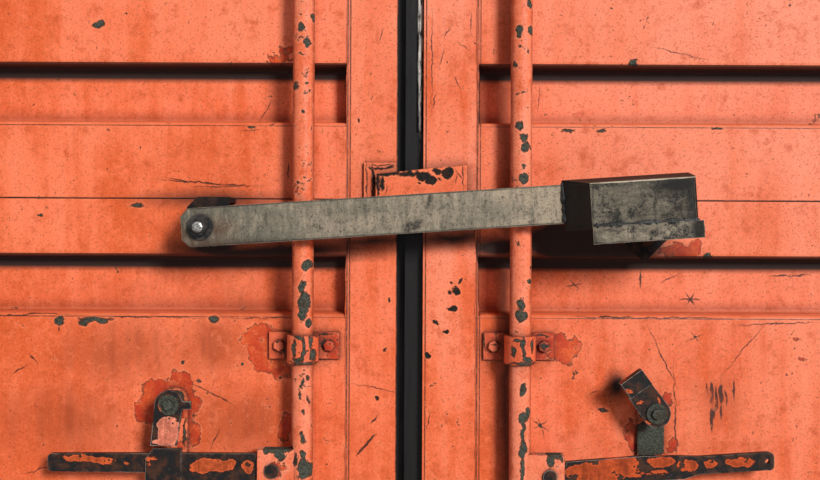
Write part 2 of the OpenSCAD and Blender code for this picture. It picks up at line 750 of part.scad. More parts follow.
// Left catch: it hangs over its lever, with a small stop at its side
module left_catch() color(rust_black) from_ground()
    translate([-left_catch_x, 0, left_catch_h]) {
        standing(catch_back, catch_t) catch_plate(catch_l, -8);
        standing(catch_back, catch_t) translate([catch_r - 4, -7]) square([16, 12]);
    }

// Right catch: turned up out of the way, its end thickened by the hook
module right_catch() color(rust_black) from_ground()
    translate([right_catch_x, 0, right_catch_h]) rotate([0, -180 - right_catch_lean, 0]) mirror([1, 0, 0]) {
        length = catch_l + 8;
        standing(catch_back, catch_t) catch_plate(length, 0);
        standing(catch_back, catch_t + 14) translate([2 - catch_r, -length]) square([2 * catch_r - 4, 27]);
    }

// Pad on the left door's inner stile, behind the overlap plate
module left_overlap_pad() color(dark_paint) from_ground() sided(LEFT)
    standing(leaf_face, pad_t) translate([centre_gap / 2, overlap_low + 2]) square([pad_w, overlap_h + 1]);

// Overlap plate: fixed on the right door by a spacer, it reaches over the left door's pad
module overlap_plate() color(paint) from_ground() {
    high = overlap_low + overlap_h;
    standing(leaf_face + pad_t + pad_gap, overlap_t) polygon([[-overlap_left, overlap_low],
        [overlap_right, overlap_low], [overlap_right, high], [-overlap_left, high - overlap_fall]]);
    standing(leaf_face, pad_t + pad_gap) translate([centre_gap / 2 + spacer_inset, overlap_low + spacer_inset])
        square([overlap_right - centre_gap / 2 - 1.5 * spacer_inset, overlap_h - 3 * spacer_inset]);
}

// Draws in the lock bar's own directions: X along the bar from its pivot, Z square to it
module on_bar() translate([-pivot_x, 0, pivot_h]) rotate([0, -bar_tilt, 0]) children();

// Bracket that carries the bar's pivot: a channel with its web in front and one corner cut off
module bar_bracket() color(rust_black) from_ground() difference() {
    thick = 8;
    half = channel_h / 2;
    left = -pivot_x - 22;
    front = bar_front - pin_gap;
    translate([0, 0, pivot_h + channel_rise]) intersection() {
        along_x(left, channel_w) polygon([[-leaf_face, -half], [-front, -half], [-front, half],
            [-leaf_face, half], [-leaf_face, half - thick], [thick - front, half - thick],
            [thick - front, thick - half], [-leaf_face, thick - half]]);
        standing(leaf_face, front) polygon([[left, -half], [left + channel_w, -half],
            [left + channel_w, half], [left + channel_cut, half], [left, half - channel_cut]]);
    }
    translate([-pivot_x, -leaf_face, pivot_h]) rotate([90, 0, 0]) cylinder(r = pivot_r + pin_gap, h = bar_front);
}

// Pivot bolt with its nut, washer and head
module bar_pivot_bolt() color(bare_steel) from_ground()
    translate([-pivot_x, 0, pivot_h]) rotate([90, 0, 0]) {
        nut_h = 14;
        web_back = bar_front - pin_gap - 8;
        washer = bar_front + bar_t + pin_gap;
        translate([0, 0, web_back - 10]) cylinder(r = pivot_r, h = washer + 3 + nut_h + 6 - web_back + 10);
        translate([0, 0, web_back - 11]) cylinder(r = pivot_r + 6, h = 11, $fn = 6);
        translate([0, 0, washer]) cylinder(r = 20, h = 3);
        translate([0, 0, washer + 3]) cylinder(r = pivot_r + 5, h = nut_h, $fn = 6);
    }

hood_end = hood_start + hood_l;

// Lock bar: a flat bar with clipped corners at its pivot end
module lock_bar() color(bare_steel) from_ground() on_bar() difference() {
    clip = 12;
    top = bar_h / 2;
    far = hood_end - hood_wall;
    standing(bar_front, bar_t) polygon([[clip - bar_tail, -top], [far, -top], [far, top],
        [clip - bar_tail, top], [-bar_tail, top - clip], [-bar_tail, clip - top]]);
    translate([0, -bar_front + 1, 0]) rotate([90, 0, 0]) cylinder(r = pivot_r + pin_gap, h = bar_t + 2);
}

// Plan of the hood, drawn in by a wall thickness where asked, with one round corner
module hood_plan(inset) {
    front = -bar_front - bar_t - hood_d + inset;
    corner_r = 9 - inset;
    near = hood_start + inset * 1.13;
    far = hood_end - inset;
    back = -bar_front;
    polygon(concat([[near, back], [near, -bar_front - bar_t], [near + hood_lean, front]],
        rounded([near, front], [far, front], [far, back], corner_r), [[far, back]]));
}

// Side view of the hood: its top falls from the bar towards the front
module hood_profile(inset) {
    top = bar_h / 2 + hood_wall + 1.5 - inset;
    low = inset > 0 ? -2 * bar_h : -bar_h / 2 - hood_drop;
    front = -bar_front - bar_t - hood_d - 1;
    polygon([[-bar_front, low], [front, low], [front, top - hood_fall], [-bar_front - bar_t, top],
        [-bar_front, top]]);
}

// Hood: a box open below and behind, welded to the bar's front and top
module lock_hood() color(bare_steel) from_ground() on_bar() difference() {
    intersection() {
        translate([0, 0, -2 * bar_h]) linear_extrude(4 * bar_h) hood_plan(0);
        along_x(hood_start - 1, hood_l + 2) hood_profile(0);
    }
    intersection() {
        translate([0, 0, -2 * bar_h]) linear_extrude(4 * bar_h) hood_plan(hood_wall);
        along_x(hood_start - 1, hood_l + 2) hood_profile(hood_wall);
    }
    translate([hood_start - 1, -bar_front - bar_t, -2 * bar_h])
        cube([hood_l - hood_wall + 1, 2 * bar_t, 2.5 * bar_h]);
}

// Strip welded along the hood's lower edge, round its front and far side
module hood_lip() color(bare_steel) from_ground() on_bar() {
    low = weld - bar_h / 2 - hood_drop - lip_h;
    front = -bar_front - bar_t - hood_d;
    translate([hood_start + hood_lean, front - lip_plate, low])
        cube([hood_l - hood_lean + lip_plate, lip_plate, lip_h]);
    translate([hood_end, front, low]) cube([lip_plate, hood_d, lip_h]);
}

eye_top = pivot_h + (hasp_x - eye_t / 2 + pivot_x) * tan(bar_tilt) - bar_h / 2 / cos(bar_tilt) - pin_gap;

// Hasp: a square plate set cornerwise on the right door, with an eye that reaches under the bar
module hasp_plate() color(rust_black) from_ground() {
    plate_t = 8;
    front = bar_front + bar_t + hood_d - hood_wall - 6;
    hole_y = front - eye_h / 2 - 2;
    low = eye_top - eye_h;
    standing(leaf_face, plate_t) translate([hasp_x, eye_top - 10]) rotate(45) square(hasp_side, center = true);
    difference() {
        along_x(hasp_x - eye_t / 2, eye_t) polygon([[-leaf_face, low - 12], [-leaf_face, eye_top],
            [-front, eye_top], [-front, low + 8], [8 - front, low], [-bar_front + 10, low]]);
        translate([hasp_x - eye_t, -hole_y, eye_top - eye_h / 2]) rotate([0, 90, 0])
            cylinder(r = eye_hole_r, h = 2 * eye_t);
    }
}

sill();
header();
post(LEFT);  // left_post
post(RIGHT);  // right_post
bottom_castings();
top_castings();
bottom_keepers();
top_keepers();
hinge_lugs(LEFT);  // left_hinge_lugs
hinge_lugs(RIGHT);  // right_hinge_lugs
panel(LEFT);  // left_panel
inner_stile(LEFT);  // left_inner_stile
outer_stile(LEFT);  // left_outer_stile
leaf_rails(LEFT);  // left_rails
door_seal(LEFT);  // left_seal
hinge_blades(LEFT);  // left_hinge_blades
outer_rod(LEFT);  // left_outer_rod
outer_lever(LEFT);  // left_outer_lever
rod_guides(LEFT);  // left_rod_guides
left_catch_bracket();
left_overlap_pad();
bar_bracket();
bar_pivot_bolt();
panel(RIGHT);  // right_panel
inner_stile(RIGHT);  // right_inner_stile
outer_stile(RIGHT);  // right_outer_stile
leaf_rails(RIGHT);  // right_rails
door_seal(RIGHT);  // right_seal
hinge_blades(RIGHT);  // right_hinge_blades
outer_rod(RIGHT);  // right_outer_rod
outer_lever(RIGHT);  // right_outer_lever
rod_guides(RIGHT);  // right_rod_guides
right_catch_bracket();
overlap_plate();
hasp_plate();
inner_rod(LEFT);  // left_inner_rod
left_lever();
inner_rod(RIGHT);  // right_inner_rod
right_lever();
left_catch();
right_catch();
lock_bar();
lock_hood();
hood_lip();
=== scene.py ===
import math
import bpy
import numpy as np
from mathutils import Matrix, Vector


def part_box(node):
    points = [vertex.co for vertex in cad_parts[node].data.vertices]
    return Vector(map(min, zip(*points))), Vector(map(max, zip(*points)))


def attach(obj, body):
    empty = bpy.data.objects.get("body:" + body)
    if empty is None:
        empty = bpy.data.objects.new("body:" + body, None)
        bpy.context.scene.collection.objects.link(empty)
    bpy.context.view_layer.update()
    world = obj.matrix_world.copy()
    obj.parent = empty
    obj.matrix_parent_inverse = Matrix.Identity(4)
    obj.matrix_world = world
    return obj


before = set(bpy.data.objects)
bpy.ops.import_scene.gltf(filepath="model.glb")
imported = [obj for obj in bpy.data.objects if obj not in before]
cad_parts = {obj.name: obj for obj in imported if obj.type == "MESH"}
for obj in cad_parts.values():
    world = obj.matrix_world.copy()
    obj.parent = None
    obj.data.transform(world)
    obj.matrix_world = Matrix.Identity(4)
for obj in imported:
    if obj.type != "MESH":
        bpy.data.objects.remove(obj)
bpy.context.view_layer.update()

# View: the photograph is taken from straight in front of the doors, a little under two metres away and
# just below the lock bar, with the camera turned a quarter of a degree. The light comes low from the right
# in front and is soft, and weaker lights reach the left side and the side that faces into the container.
EYE_HEIGHT = 1.3768
camera = bpy.data.objects.new("camera", bpy.data.cameras.new("camera"))
camera.data.lens = 52.13
camera.data.sensor_width = 36.0
camera.location = (0.0, -2.010, EYE_HEIGHT)
camera.rotation_euler = (math.radians(90.0), math.radians(-0.27), 0.0)
bpy.context.scene.collection.objects.link(camera)
bpy.context.scene.camera = camera
bpy.context.scene.view_settings.view_transform = "Standard"

# name, direction in which the light travels, strength, apparent width in degrees
SUNS = [
    ("key_light", (-0.46, 0.80, -0.33), 3.22, 15.0),
    ("side_light", (0.95, 0.12, -0.28), 0.45, 50.0),
    ("back_light", (0.35, -0.80, -0.45), 1.9, 50.0),
]
for name, direction, strength, width in SUNS:
    lamp = bpy.data.lights.new(name, "SUN")
    lamp.energy = strength
    lamp.angle = math.radians(width)
    sun = bpy.data.objects.new(name, lamp)
    sun.rotation_euler = Vector(direction).to_track_quat("-Z", "Y").to_euler()
    bpy.context.scene.collection.objects.link(sun)


def add(tree, kind, inputs=None, **settings):
    """Adds a shader node. An input that is given as another node's output is linked, any other is set."""
    made = tree.nodes.new(kind)
    for name, value in settings.items():
        setattr(made, name, value)
    for key, value in (inputs or {}).items():
        if isinstance(value, bpy.types.NodeSocket):
            tree.links.new(value, made.inputs[key])
        else:
            made.inputs[key].default_value = value
    return made


def combine(tree, operation, first, second=0.0):
    """The result of one arithmetic step on two values."""
    return add(tree, "ShaderNodeMath", {0: first, 1: second}, operation=operation).outputs[0]


world = bpy.data.worlds.new("studio")
world.use_nodes = True
bpy.context.scene.world = world
sky = world.node_tree
sky.nodes["Background"].inputs["Color"].default_value = (0.93, 0.95, 1.0, 1.0)
rays = add(sky, "ShaderNodeLightPath").outputs
mirrored = combine(sky, "MAXIMUM", rays["Is Glossy Ray"], rays["Is Transmission Ray"])
seen = combine(sky, "MAXIMUM", rays["Is Camera Ray"], mirrored)
sky_strength = add(sky, "ShaderNodeMapRange", {"Value": seen, "To Min": 0.09, "To Max": 0.86})
sky.links.new(sky_strength.outputs[0], sky.nodes["Background"].inputs["Strength"])

floor_mesh = bpy.data.meshes.new("floor")
FLOOR_HEIGHT = -0.08
HALF_FLOOR = 9.0
floor_corners = [(x, y, FLOOR_HEIGHT) for x, y in [(-HALF_FLOOR, -HALF_FLOOR), (HALF_FLOOR, -HALF_FLOOR),
                                                   (HALF_FLOOR, HALF_FLOOR), (-HALF_FLOOR, HALF_FLOOR)]]
floor_mesh.from_pydata(floor_corners, [], [(0, 1, 2, 3)])
floor = bpy.data.objects.new("floor", floor_mesh)
bpy.context.scene.collection.objects.link(floor)
floor_finish = bpy.data.materials.new("floor_finish")
floor_finish.use_nodes = True
floor_shader = floor_finish.node_tree.nodes["Principled BSDF"]
floor_shader.inputs["Base Color"].default_value = (0.66, 0.66, 0.65, 1.0)
floor_shader.inputs["Roughness"].default_value = 0.9
floor_mesh.materials.append(floor_finish)

# Doors: two leaves of pressed sheet steel between box-section stiles and rails, all welded and painted
# orange-red. Years of sun have bleached the upper flats to salmon. Painted shade darkens the corners, the
# faces that point down and the sunk bands under their upper edges, painted shadows lie where the bar, the
# hood, the catches and the rods cast them, and a painted highlight pales the faces that point up. The paint
# has peeled and chipped around the hardware and on dents.
BLEACHED_PAINT = (0.93, 0.278, 0.160)
PALE_PAINT = (0.90, 0.196, 0.083)
DEEP_PAINT = (0.73, 0.108, 0.023)
RED_COAT = (0.52, 0.042, 0.010)
GREY_STEEL = [(0.026, 0.030, 0.024), (0.085, 0.090, 0.068)]
BLACK_STEEL = [(0.009, 0.009, 0.008), (0.026, 0.024, 0.020)]
RUST = (0.070, 0.021, 0.010)
# Near-black colour of painted shade, in corners and under cast shadows.
SHADE_BLACK = (0.030, 0.022, 0.020)


def ramp(tree, value, low, high, start=0.0, end=1.0):
    """A value from low to high, brought evenly to start to end and held there outside."""
    return add(tree, "ShaderNodeMapRange", {0: value, 1: low, 2: high, 3: start, 4: end}).outputs[0]


def times(tree, first, second):
    """The product of two values."""
    return combine(tree, "MULTIPLY", first, second)


def plus(tree, first, second):
    """The sum of two values."""
    return combine(tree, "ADD", first, second)


def less(tree, first, second):
    """The first value less the second."""
    return combine(tree, "SUBTRACT", first, second)


def larger(tree, first, second):
    """The larger of two values."""
    return combine(tree, "MAXIMUM", first, second)


def vector_sum(tree, first, second, operation="ADD"):
    """The sum of two vectors, or the result of another operation on them."""
    return add(tree, "ShaderNodeVectorMath", {0: first, 1: second}, operation=operation).outputs[0]


def scaled(tree, vector, factor):
    """The vector made longer by a factor."""
    return add(tree, "ShaderNodeVectorMath", {0: vector, "Scale": factor}, operation="SCALE").outputs[0]


def blend(tree, amount, first, second):
    """The first colour turning to the second as the amount goes from 0 to 1."""
    colours = [c if isinstance(c, bpy.types.NodeSocket) else (*c, 1.0) for c in (first, second)]
    made = add(tree, "ShaderNodeMix", {0: amount, 6: colours[0], 7: colours[1]}, data_type="RGBA")
    return made.outputs[2]


def tint(colour, factor):
    """A colour made lighter or darker, held below white."""
    return tuple(min(1.0, c * factor) for c in colour)


def noise(tree, place, scale, detail=4.0, rough=0.55, stretch=(1.0, 1.0, 1.0), output="Fac"):
    """Cloudy noise of about that many clouds a metre, stretched along the axes."""
    spread = add(tree, "ShaderNodeMapping", {"Vector": place, "Scale": stretch}).outputs[0]
    settings = {"Vector": spread, "Scale": scale, "Detail": detail, "Roughness": rough}
    return add(tree, "ShaderNodeTexNoise", settings).outputs[output]


def shaken(tree, place, scale, reach, detail=5.0):
    """The place shifted by noise of that scale by up to about half the reach in metres."""
    wobble = noise(tree, place, scale, detail, 0.62, output="Color")
    return vector_sum(tree, place, scaled(tree, vector_sum(tree, wobble, (0.5, 0.5, 0.5), "SUBTRACT"), reach))


def ovals(tree, place, marks, field=-1.0):
    """Depth inside the nearest of some ovals, in metres, negative outside. Each mark is the place across and
    up, the half width and half height in metres, and the degrees that it is turned up to the right; front to
    back doesn't count."""
    for x, z, wide, high, *turn in marks:
        turned_up = math.radians(-turn[0] if turn else 0.0)
        settings = {"Vector": place, "Location": (x, 0.0, z), "Rotation": (0.0, turned_up, 0.0),
                    "Scale": (wide, 1e4, high)}
        inside = add(tree, "ShaderNodeMapping", settings, vector_type="TEXTURE").outputs[0]
        length = add(tree, "ShaderNodeVectorMath", {0: inside}, operation="LENGTH").outputs["Value"]
        field = larger(tree, field, times(tree, less(tree, 1.0, length), min(wide, high)))
    return field


METRES_PER_PIXEL = 0.0016
PHOTO_MIDDLE = (410.0, 240.0)


def in_photo(nearer, *marks):
    """Marks measured on the photograph, brought to metres. Each is the place across and down, the half width
    and half height in pixels, and the degrees that it is turned. Nearer is how far from the camera their
    surface is, as a share of the distance of the doors' face."""
    middle_x, middle_y = PHOTO_MIDDLE
    scale = METRES_PER_PIXEL * nearer
    return [((x - middle_x) * scale, EYE_HEIGHT + (middle_y - y) * scale, wide * scale, high * scale, *turn)
            for x, y, wide, high, *turn in marks]


def on_door(*marks):
    """Marks measured on the photograph that lie on the doors' face."""
    return in_photo(1.0, *marks)


def blank(name):
    """A new material with its node tree, its shader and the place on the object in metres."""
    made = bpy.data.materials.new(name)
    made.use_nodes = True
    tree = made.node_tree
    place = add(tree, "ShaderNodeTexCoord").outputs["Object"]
    return made, tree, tree.nodes["Principled BSDF"], place


def wear_at_edges(tree, width):
    """How far the surface turns away within that width, from 0 on a flat to 1 on a sharp edge."""
    rounded = add(tree, "ShaderNodeBevel", {"Radius": width}, samples=4).outputs[0]
    flat = add(tree, "ShaderNodeNewGeometry").outputs["Normal"]
    same = add(tree, "ShaderNodeVectorMath", {0: rounded, 1: flat}, operation="DOT_PRODUCT").outputs["Value"]
    return ramp(tree, same, 1.0, 0.86)


def openness(tree, reach):
    """How open the surface is to the air within that reach, from 0 deep in a corner to 1."""
    return add(tree, "ShaderNodeAmbientOcclusion", {"Distance": reach}, samples=3).outputs["AO"]


def along_axis(tree, vector, axis):
    """One of the three parts of a vector."""
    return add(tree, "ShaderNodeSeparateXYZ", {0: vector}).outputs[axis]


def facing(tree, axis):
    """How much the surface faces along the piece's own X, Y or Z."""
    return along_axis(tree, add(tree, "ShaderNodeTexCoord").outputs["Normal"], axis)


def finish(shader, tree, colour, rough, height, depth, metal=0.0, shine=0.4):
    """Sets colour, roughness and a bump of that depth in metres on a shader."""
    tree.links.new(colour, shader.inputs["Base Color"])
    tree.links.new(rough, shader.inputs["Roughness"])
    if metal is not None:
        shader.inputs["Metallic"].default_value = metal
    if isinstance(shine, bpy.types.NodeSocket):
        tree.links.new(shine, shader.inputs["Specular IOR Level"])
    else:
        shader.inputs["Specular IOR Level"].default_value = shine
    bump = add(tree, "ShaderNodeBump", {"Height": height, "Distance": depth, "Strength": 1.0})
    tree.links.new(bump.outputs[0], shader.inputs["Normal"])


def sun_bleached(tree, place, fading, colour, deep, fade):
    """Paint paler up and to the right, where the sun reaches, and deeper down to the left."""
    across, up = along_axis(tree, place, 0), along_axis(tree, place, 2)
    rise = plus(tree, times(tree, across, 0.40), times(tree, up, 0.35))
    rise = plus(tree, rise, times(tree, fading, 1.6))
    colour = blend(tree, ramp(tree, rise, 1.18, 1.90, 0.0, fade), colour, BLEACHED_PAINT)
    return blend(tree, ramp(tree, rise, 1.20, 0.94, 0.0, 0.7), colour, tint(deep, 0.90))


def peeled_off(tree, colour, field, grain, mottle, pale, deep):
    """Paint gone to the red coat where the field is over 0, with a pale lip of painted highlight along the
    lifted edge and a dark rim of painted shadow.
    """
    gone = ramp(tree, field, 0.0, 0.0006)
    # The pale lip is a painted highlight of the lifted paint's edge.
    lip = times(tree, ramp(tree, field, -0.0034, -0.0008), less(tree, 1.0, gone))
    colour = blend(tree, times(tree, lip, 0.65), colour, tint(pale, 1.25))
    coat = blend(tree, ramp(tree, mottle, 0.44, 0.66), RED_COAT, tint(deep, 0.98))
    coat = blend(tree, ramp(tree, grain, 0.52, 0.68, 0.0, 0.55), coat, tint(RED_COAT, 0.40))
    colour = blend(tree, gone, colour, coat)
    # The dark rim is a painted shadow of the paint's edge, in rust colour.
    rim = ramp(tree, combine(tree, "ABSOLUTE", field), 0.0013, 0.0003, 0.0, 0.85)
    return blend(tree, rim, colour, RUST)


def cracked(tree, marked, colour, mottle, lines, seams):
    """Dark wavering cracks and scratches along lines, and dirt in straight seams."""
    if lines:
        drawn = ramp(tree, ovals(tree, shaken(tree, marked, 42.0, 0.014, 6.0), lines), -0.0006, 0.0003)
        drawn = times(tree, drawn, ramp(tree, mottle, 0.36, 0.46, 0.35, 0.95))
        colour = blend(tree, drawn, colour, tint(RUST, 0.55))
    if seams:
        dirty = ramp(tree, ovals(tree, marked, seams), -0.0007, 0.0003)
        dirty = times(tree, dirty, ramp(tree, mottle, 0.36, 0.52, 0.55, 0.95))
        colour = blend(tree, dirty, colour, tint(RUST, 0.6))
    return colour


def chipped(tree, colour, chips, grain, mottle, pale, steel):
    """Bare steel where the chips' field is over 0, with a pale halo of painted highlight round it and a rim of
    rust and painted shadow. It gives back the colour and how much of the paint is gone."""
    dark = ramp(tree, chips, 0.0, 0.0004)
    # The pale halo is a painted highlight of the paint's edge.
    halo = times(tree, ramp(tree, chips, -0.0030, -0.0010), less(tree, 1.0, dark))
    colour = blend(tree, times(tree, halo, 0.40), colour, tint(pale, 1.3))
    under = blend(tree, ramp(tree, grain, 0.38, 0.60), *steel)
    under = blend(tree, ramp(tree, mottle, 0.52, 0.66, 0.0, 0.5), under, tint(RUST, 0.8))
    colour = blend(tree, dark, colour, under)
    # The rim is rust and a painted shadow of the paint's edge.
    outline = ramp(tree, combine(tree, "ABSOLUTE", chips), 0.0011, 0.0003, 0.0, 0.80)
    return blend(tree, outline, colour, tint(RUST, 0.55)), dark


def painted_shade(tree, place, marked, up, shadow_marks):
    """How dark the painted shade is: in corners, on what faces down, where shadows fall in marked places and
    along the upper edge of the doors' sunk bands."""
    # Painted shade in corners, and below it on faces that point down.
    sheltered = times(tree, ramp(tree, openness(tree, 0.024), 0.88, 0.48), 0.80)
    sheltered = larger(tree, sheltered, ramp(tree, openness(tree, 0.006), 0.86, 0.50, 0.0, 0.92))
    black = larger(tree, sheltered, ramp(tree, up, -0.25, -0.70, 0.0, 0.92))
    # Painted shadows in marked places and under the sunk bands' upper edges.
    if shadow_marks:
        marked_shadow = ovals(tree, shaken(tree, marked, 14.0, 0.020, 4.0), shadow_marks)
        black = larger(tree, black, ramp(tree, marked_shadow, -0.016, 0.006, 0.0, 0.985))
        sunk = ramp(tree, along_axis(tree, place, 1), *BAND_DEPTHS)
        under_edge = ramp(tree, ovals(tree, marked, BAND_SHADOWS), -0.006, 0.003, 0.0, 0.985)
        black = larger(tree, black, times(tree, sunk, under_edge))
    return black


def old_paint(name, pale, deep, peeled=(), bare=(), lines=(), seams=(), grime=(), shadow_marks=(), peel=0.70,
              chip=0.72, edge=0.003, edge_wear=0.55, fade=0.0, side_shade=0.0, steel=GREY_STEEL, seed=0.0):
    """Weathered paint: bleached clouds and rain streaks, a painted highlight on faces that point up, painted
    shade in corners, on faces that point down, under the sunk bands' upper edges, in soft marked places where
    shadows fall and on sides that face left or right, soft brown grime, ragged peeled patches with a dark rim
    of painted shadow and a pale lip of painted highlight, dark cracks and scratches along lines, straight
    dirty seams, and chips to bare steel with a pale halo of painted highlight and a rim of rust and painted
    shadow, more along edges. What is marked shows on no surface that faces back."""
    made, tree, shader, place = blank(name)
    moved = add(tree, "ShaderNodeMapping", {"Vector": place, "Location": (0.0, seed, 0.0)}).outputs[0]
    aside = scaled(tree, (60.0, 0.0, 0.0), ramp(tree, facing(tree, 1), 0.2, 0.3))
    marked = vector_sum(tree, moved, aside)
    cloud = noise(tree, moved, 3.4, 6.0, 0.62)
    streak = noise(tree, moved, 28.0, 4.0, 0.62, (1.0, 1.0, 0.09))
    grain = noise(tree, moved, 330.0, 3.0, 0.65)
    mottle = noise(tree, moved, 42.0, 5.0, 0.68)
    fading = plus(tree, times(tree, cloud, 0.60), times(tree, streak, 0.40))
    colour = blend(tree, ramp(tree, fading, 0.39, 0.56), deep, pale)
    if fade:
        colour = sun_bleached(tree, place, fading, colour, deep, fade)
    colour = blend(tree, ramp(tree, mottle, 0.54, 0.70, 0.0, 0.50), colour, tint(pale, 1.10))
    colour = blend(tree, ramp(tree, mottle, 0.46, 0.30, 0.0, 0.75), colour, tint(deep, 0.78))
    colour = blend(tree, ramp(tree, grain, 0.55, 0.70, 0.0, 0.65), colour, tint(deep, 0.46))
    colour = blend(tree, ramp(tree, grain, 0.44, 0.30, 0.0, 0.40), colour, tint(pale, 1.22))
    up = facing(tree, 2)
    # Painted highlight on faces that point up, such as the sunk bands' lower edges.
    colour = blend(tree, ramp(tree, up, 0.10, 0.75, 0.0, 0.45), colour, tint(pale, 1.15))
    # Painted shade on the sides that face left or right.
    if side_shade:
        turned_away = ramp(tree, combine(tree, "ABSOLUTE", facing(tree, 0)), 0.70, 1.0, 0.0, side_shade)
        colour = blend(tree, turned_away, colour, tint(deep, 0.30))
    if grime:
        soft = ovals(tree, shaken(tree, marked, 9.0, 0.08, 3.0), grime)
        soft = times(tree, ramp(tree, soft, -0.030, 0.020), ramp(tree, streak, 0.34, 0.62, 0.25, 0.85))
        colour = blend(tree, soft, colour, tint(deep, 0.48))

    patches = times(tree, less(tree, noise(tree, moved, 7.0, 6.0, 0.66), peel), 0.12)
    patches = ovals(tree, shaken(tree, marked, 38.0, 0.045, 6.0), peeled, patches)
    colour = peeled_off(tree, colour, patches, grain, mottle, pale, deep)
    colour = cracked(tree, marked, colour, mottle, lines, seams)

    speckle = noise(tree, moved, 70.0, 5.0, 0.72)
    hits = plus(tree, speckle, times(tree, noise(tree, moved, 5.0, 2.0, 0.5), 0.22))
    hits = plus(tree, hits, times(tree, wear_at_edges(tree, edge), edge_wear * 0.16))
    chips = times(tree, less(tree, hits, chip + 0.11), 0.02)
    chips = ovals(tree, shaken(tree, marked, 62.0, 0.020, 6.0), bare, chips)
    colour, dark = chipped(tree, colour, chips, grain, mottle, pale, steel)
    pits = ramp(tree, noise(tree, moved, 170.0, 2.0, 0.5), 0.70, 0.74)
    colour = blend(tree, times(tree, pits, ramp(tree, mottle, 0.45, 0.60)), colour, RUST)

    # Painted shade and painted shadows turn the colour near black.
    black = painted_shade(tree, place, marked, up, shadow_marks)
    colour = blend(tree, black, colour, SHADE_BLACK)
    height = less(tree, times(tree, grain, 0.30), times(tree, speckle, 0.5))
    shine = ramp(tree, larger(tree, black, dark), 0.0, 0.8, 0.26, 0.05)
    finish(shader, tree, colour, ramp(tree, grain, 0.3, 0.7, 0.40, 0.60), height, 0.0006, shine=shine)
    return made


def give(material, *names):
    """Puts a material in every material slot of these nodes of the frame."""
    for name in names:
        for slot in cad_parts[name].material_slots:
            slot.material = material


# The doors' sunk bands, each with a painted shadow under its upper edge and a crease along its lower one. The
# seam where the upper sheet laps over the lower one is a crease too.
BAND_HEIGHTS = (0.386, 0.692, 1.304, 1.610, 1.916)
BAND_DEPTHS = (-0.104, -0.096)
LAP_HEIGHT = 1.442
BAND_SHADOWS = [(0.0, z + 0.0385, 3.0, 0.0130) for z in BAND_HEIGHTS]
CREASES = [(z - 0.0515, 0.0006) for z in BAND_HEIGHTS] + [(LAP_HEIGHT, 0.0010)]
LEFT_CREASES = [(-0.62, z, 0.53, high) for z, high in CREASES]
RIGHT_CREASES = [(0.63, z, 0.53, high) for z, high in CREASES]

# Marks on the doors. Those that the photograph shows are measured on it, and the rest are in metres: place
# across and up, half width, half height, and the degrees turned.
LEFT_PEELED = on_door(
    (267, 350, 20, 23), (253, 338, 10, 12), (280, 371, 10, 9), (169, 406, 31, 26), (182, 387, 9, 14),
    (195, 433, 7, 15), (150, 390, 9, 9), (146, 412, 9, 12), (287, 428, 7, 15))
LEFT_PEELED += [(-0.7, 1.48, 0.03, 0.018), (-0.56, 0.48, 0.06, 0.03), (-0.91, 0.86, 0.02, 0.03)]
LEFT_BARE = on_door(
    (60, 323, 5, 5), (96, 321, 15, 2.6), (84, 325, 5, 3), (215, 320, 4.5, 2), (183.6, 364, 1.8, 1.8),
    (199, 381, 2, 1.8), (244.5, 364, 2, 1.8), (252, 128, 3.5, 1.4), (136, 206, 6, 1.8), (40, 217, 2, 1.5))
LEFT_BARE += [(-0.62, 0.83, 0.012, 0.006), (-0.45, 0.55, 0.008, 0.008), (-0.5, 1.72, 0.01, 0.005)]
LEFT_LINES = on_door(
    (206, 184, 40, 0.7, -3), (226, 187, 24, 0.5, 1), (185, 182, 16, 0.5, -8), (211.5, 394.5, 21.5, 0.7, -25),
    (40, 471, 11, 0.5, 16), (262, 110, 10, 0.4, 62), (250, 131, 7, 0.6, 4), (136, 208, 8, 0.6, -3),
    (30, 316.5, 34, 0.6, 1), (150, 318, 40, 0.5, -1), (262, 318.6, 24, 0.6, 1), (20, 372, 6, 0.6, 30),
    (34, 361, 5, 0.5, -50), (216, 440, 8, 0.5, 70), (288, 172, 0.6, 8), (60, 330, 3, 0.8, 80))
LEFT_GRIME = on_door(
    (128, 352, 50, 22), (60, 420, 46, 24), (258, 300, 60, 6), (240, 425, 40, 26), (214, 345, 30, 22))
# Painted shadows under the lock bar and beside its bracket.
LEFT_SHADOWS = on_door((268, 254, 90, 8.5, 3.9), (215, 250, 30, 8, 2), (372, 242, 34, 4, 3.9), (214, 201, 24, 3))
LEFT_SEAMS = on_door((347.2, 240, 0.55, 900))
PAD_BARE = on_door(
    (373.4, 182, 1.5, 13), (381, 168.6, 9, 1.1), (389, 167.6, 4, 1.3), (371, 170, 2, 1), (377, 398, 1.5, 2),
    (385, 350, 1.2, 1.6), (358, 120, 1.2, 1.4), (390, 300, 1.2, 1.8))
PAD_LINES = on_door(
    (366.4, 181, 0.7, 17), (382, 165.4, 14, 0.7), (371.4, 180, 0.6, 14), (368, 444, 12, 1.3, 52),
    (361, 452, 5, 0.9, 60), (376, 388, 16, 0.4, -12), (380, 36, 5, 0.5, 70), (362, 210, 0.5, 9),
    (375, 420, 4, 1, 48))
PAD_SEAMS = on_door((349.8, 240, 0.5, 900), (396.6, 240, 0.45, 900))
left_paint = old_paint("left_door_paint", PALE_PAINT, DEEP_PAINT, LEFT_PEELED, LEFT_BARE, LEFT_LINES,
                       LEFT_SEAMS + LEFT_CREASES, LEFT_GRIME, LEFT_SHADOWS, fade=0.9)
left_stile_paint = old_paint("left_stile_paint", PALE_PAINT, DEEP_PAINT, (), PAD_BARE, PAD_LINES, PAD_SEAMS,
                             (), LEFT_SHADOWS, fade=1.1, steel=BLACK_STEEL, seed=22.0)
give(left_paint, "left_panel", "left_outer_stile", "left_rails")
give(left_stile_paint, "left_inner_stile", "left_overlap_pad")
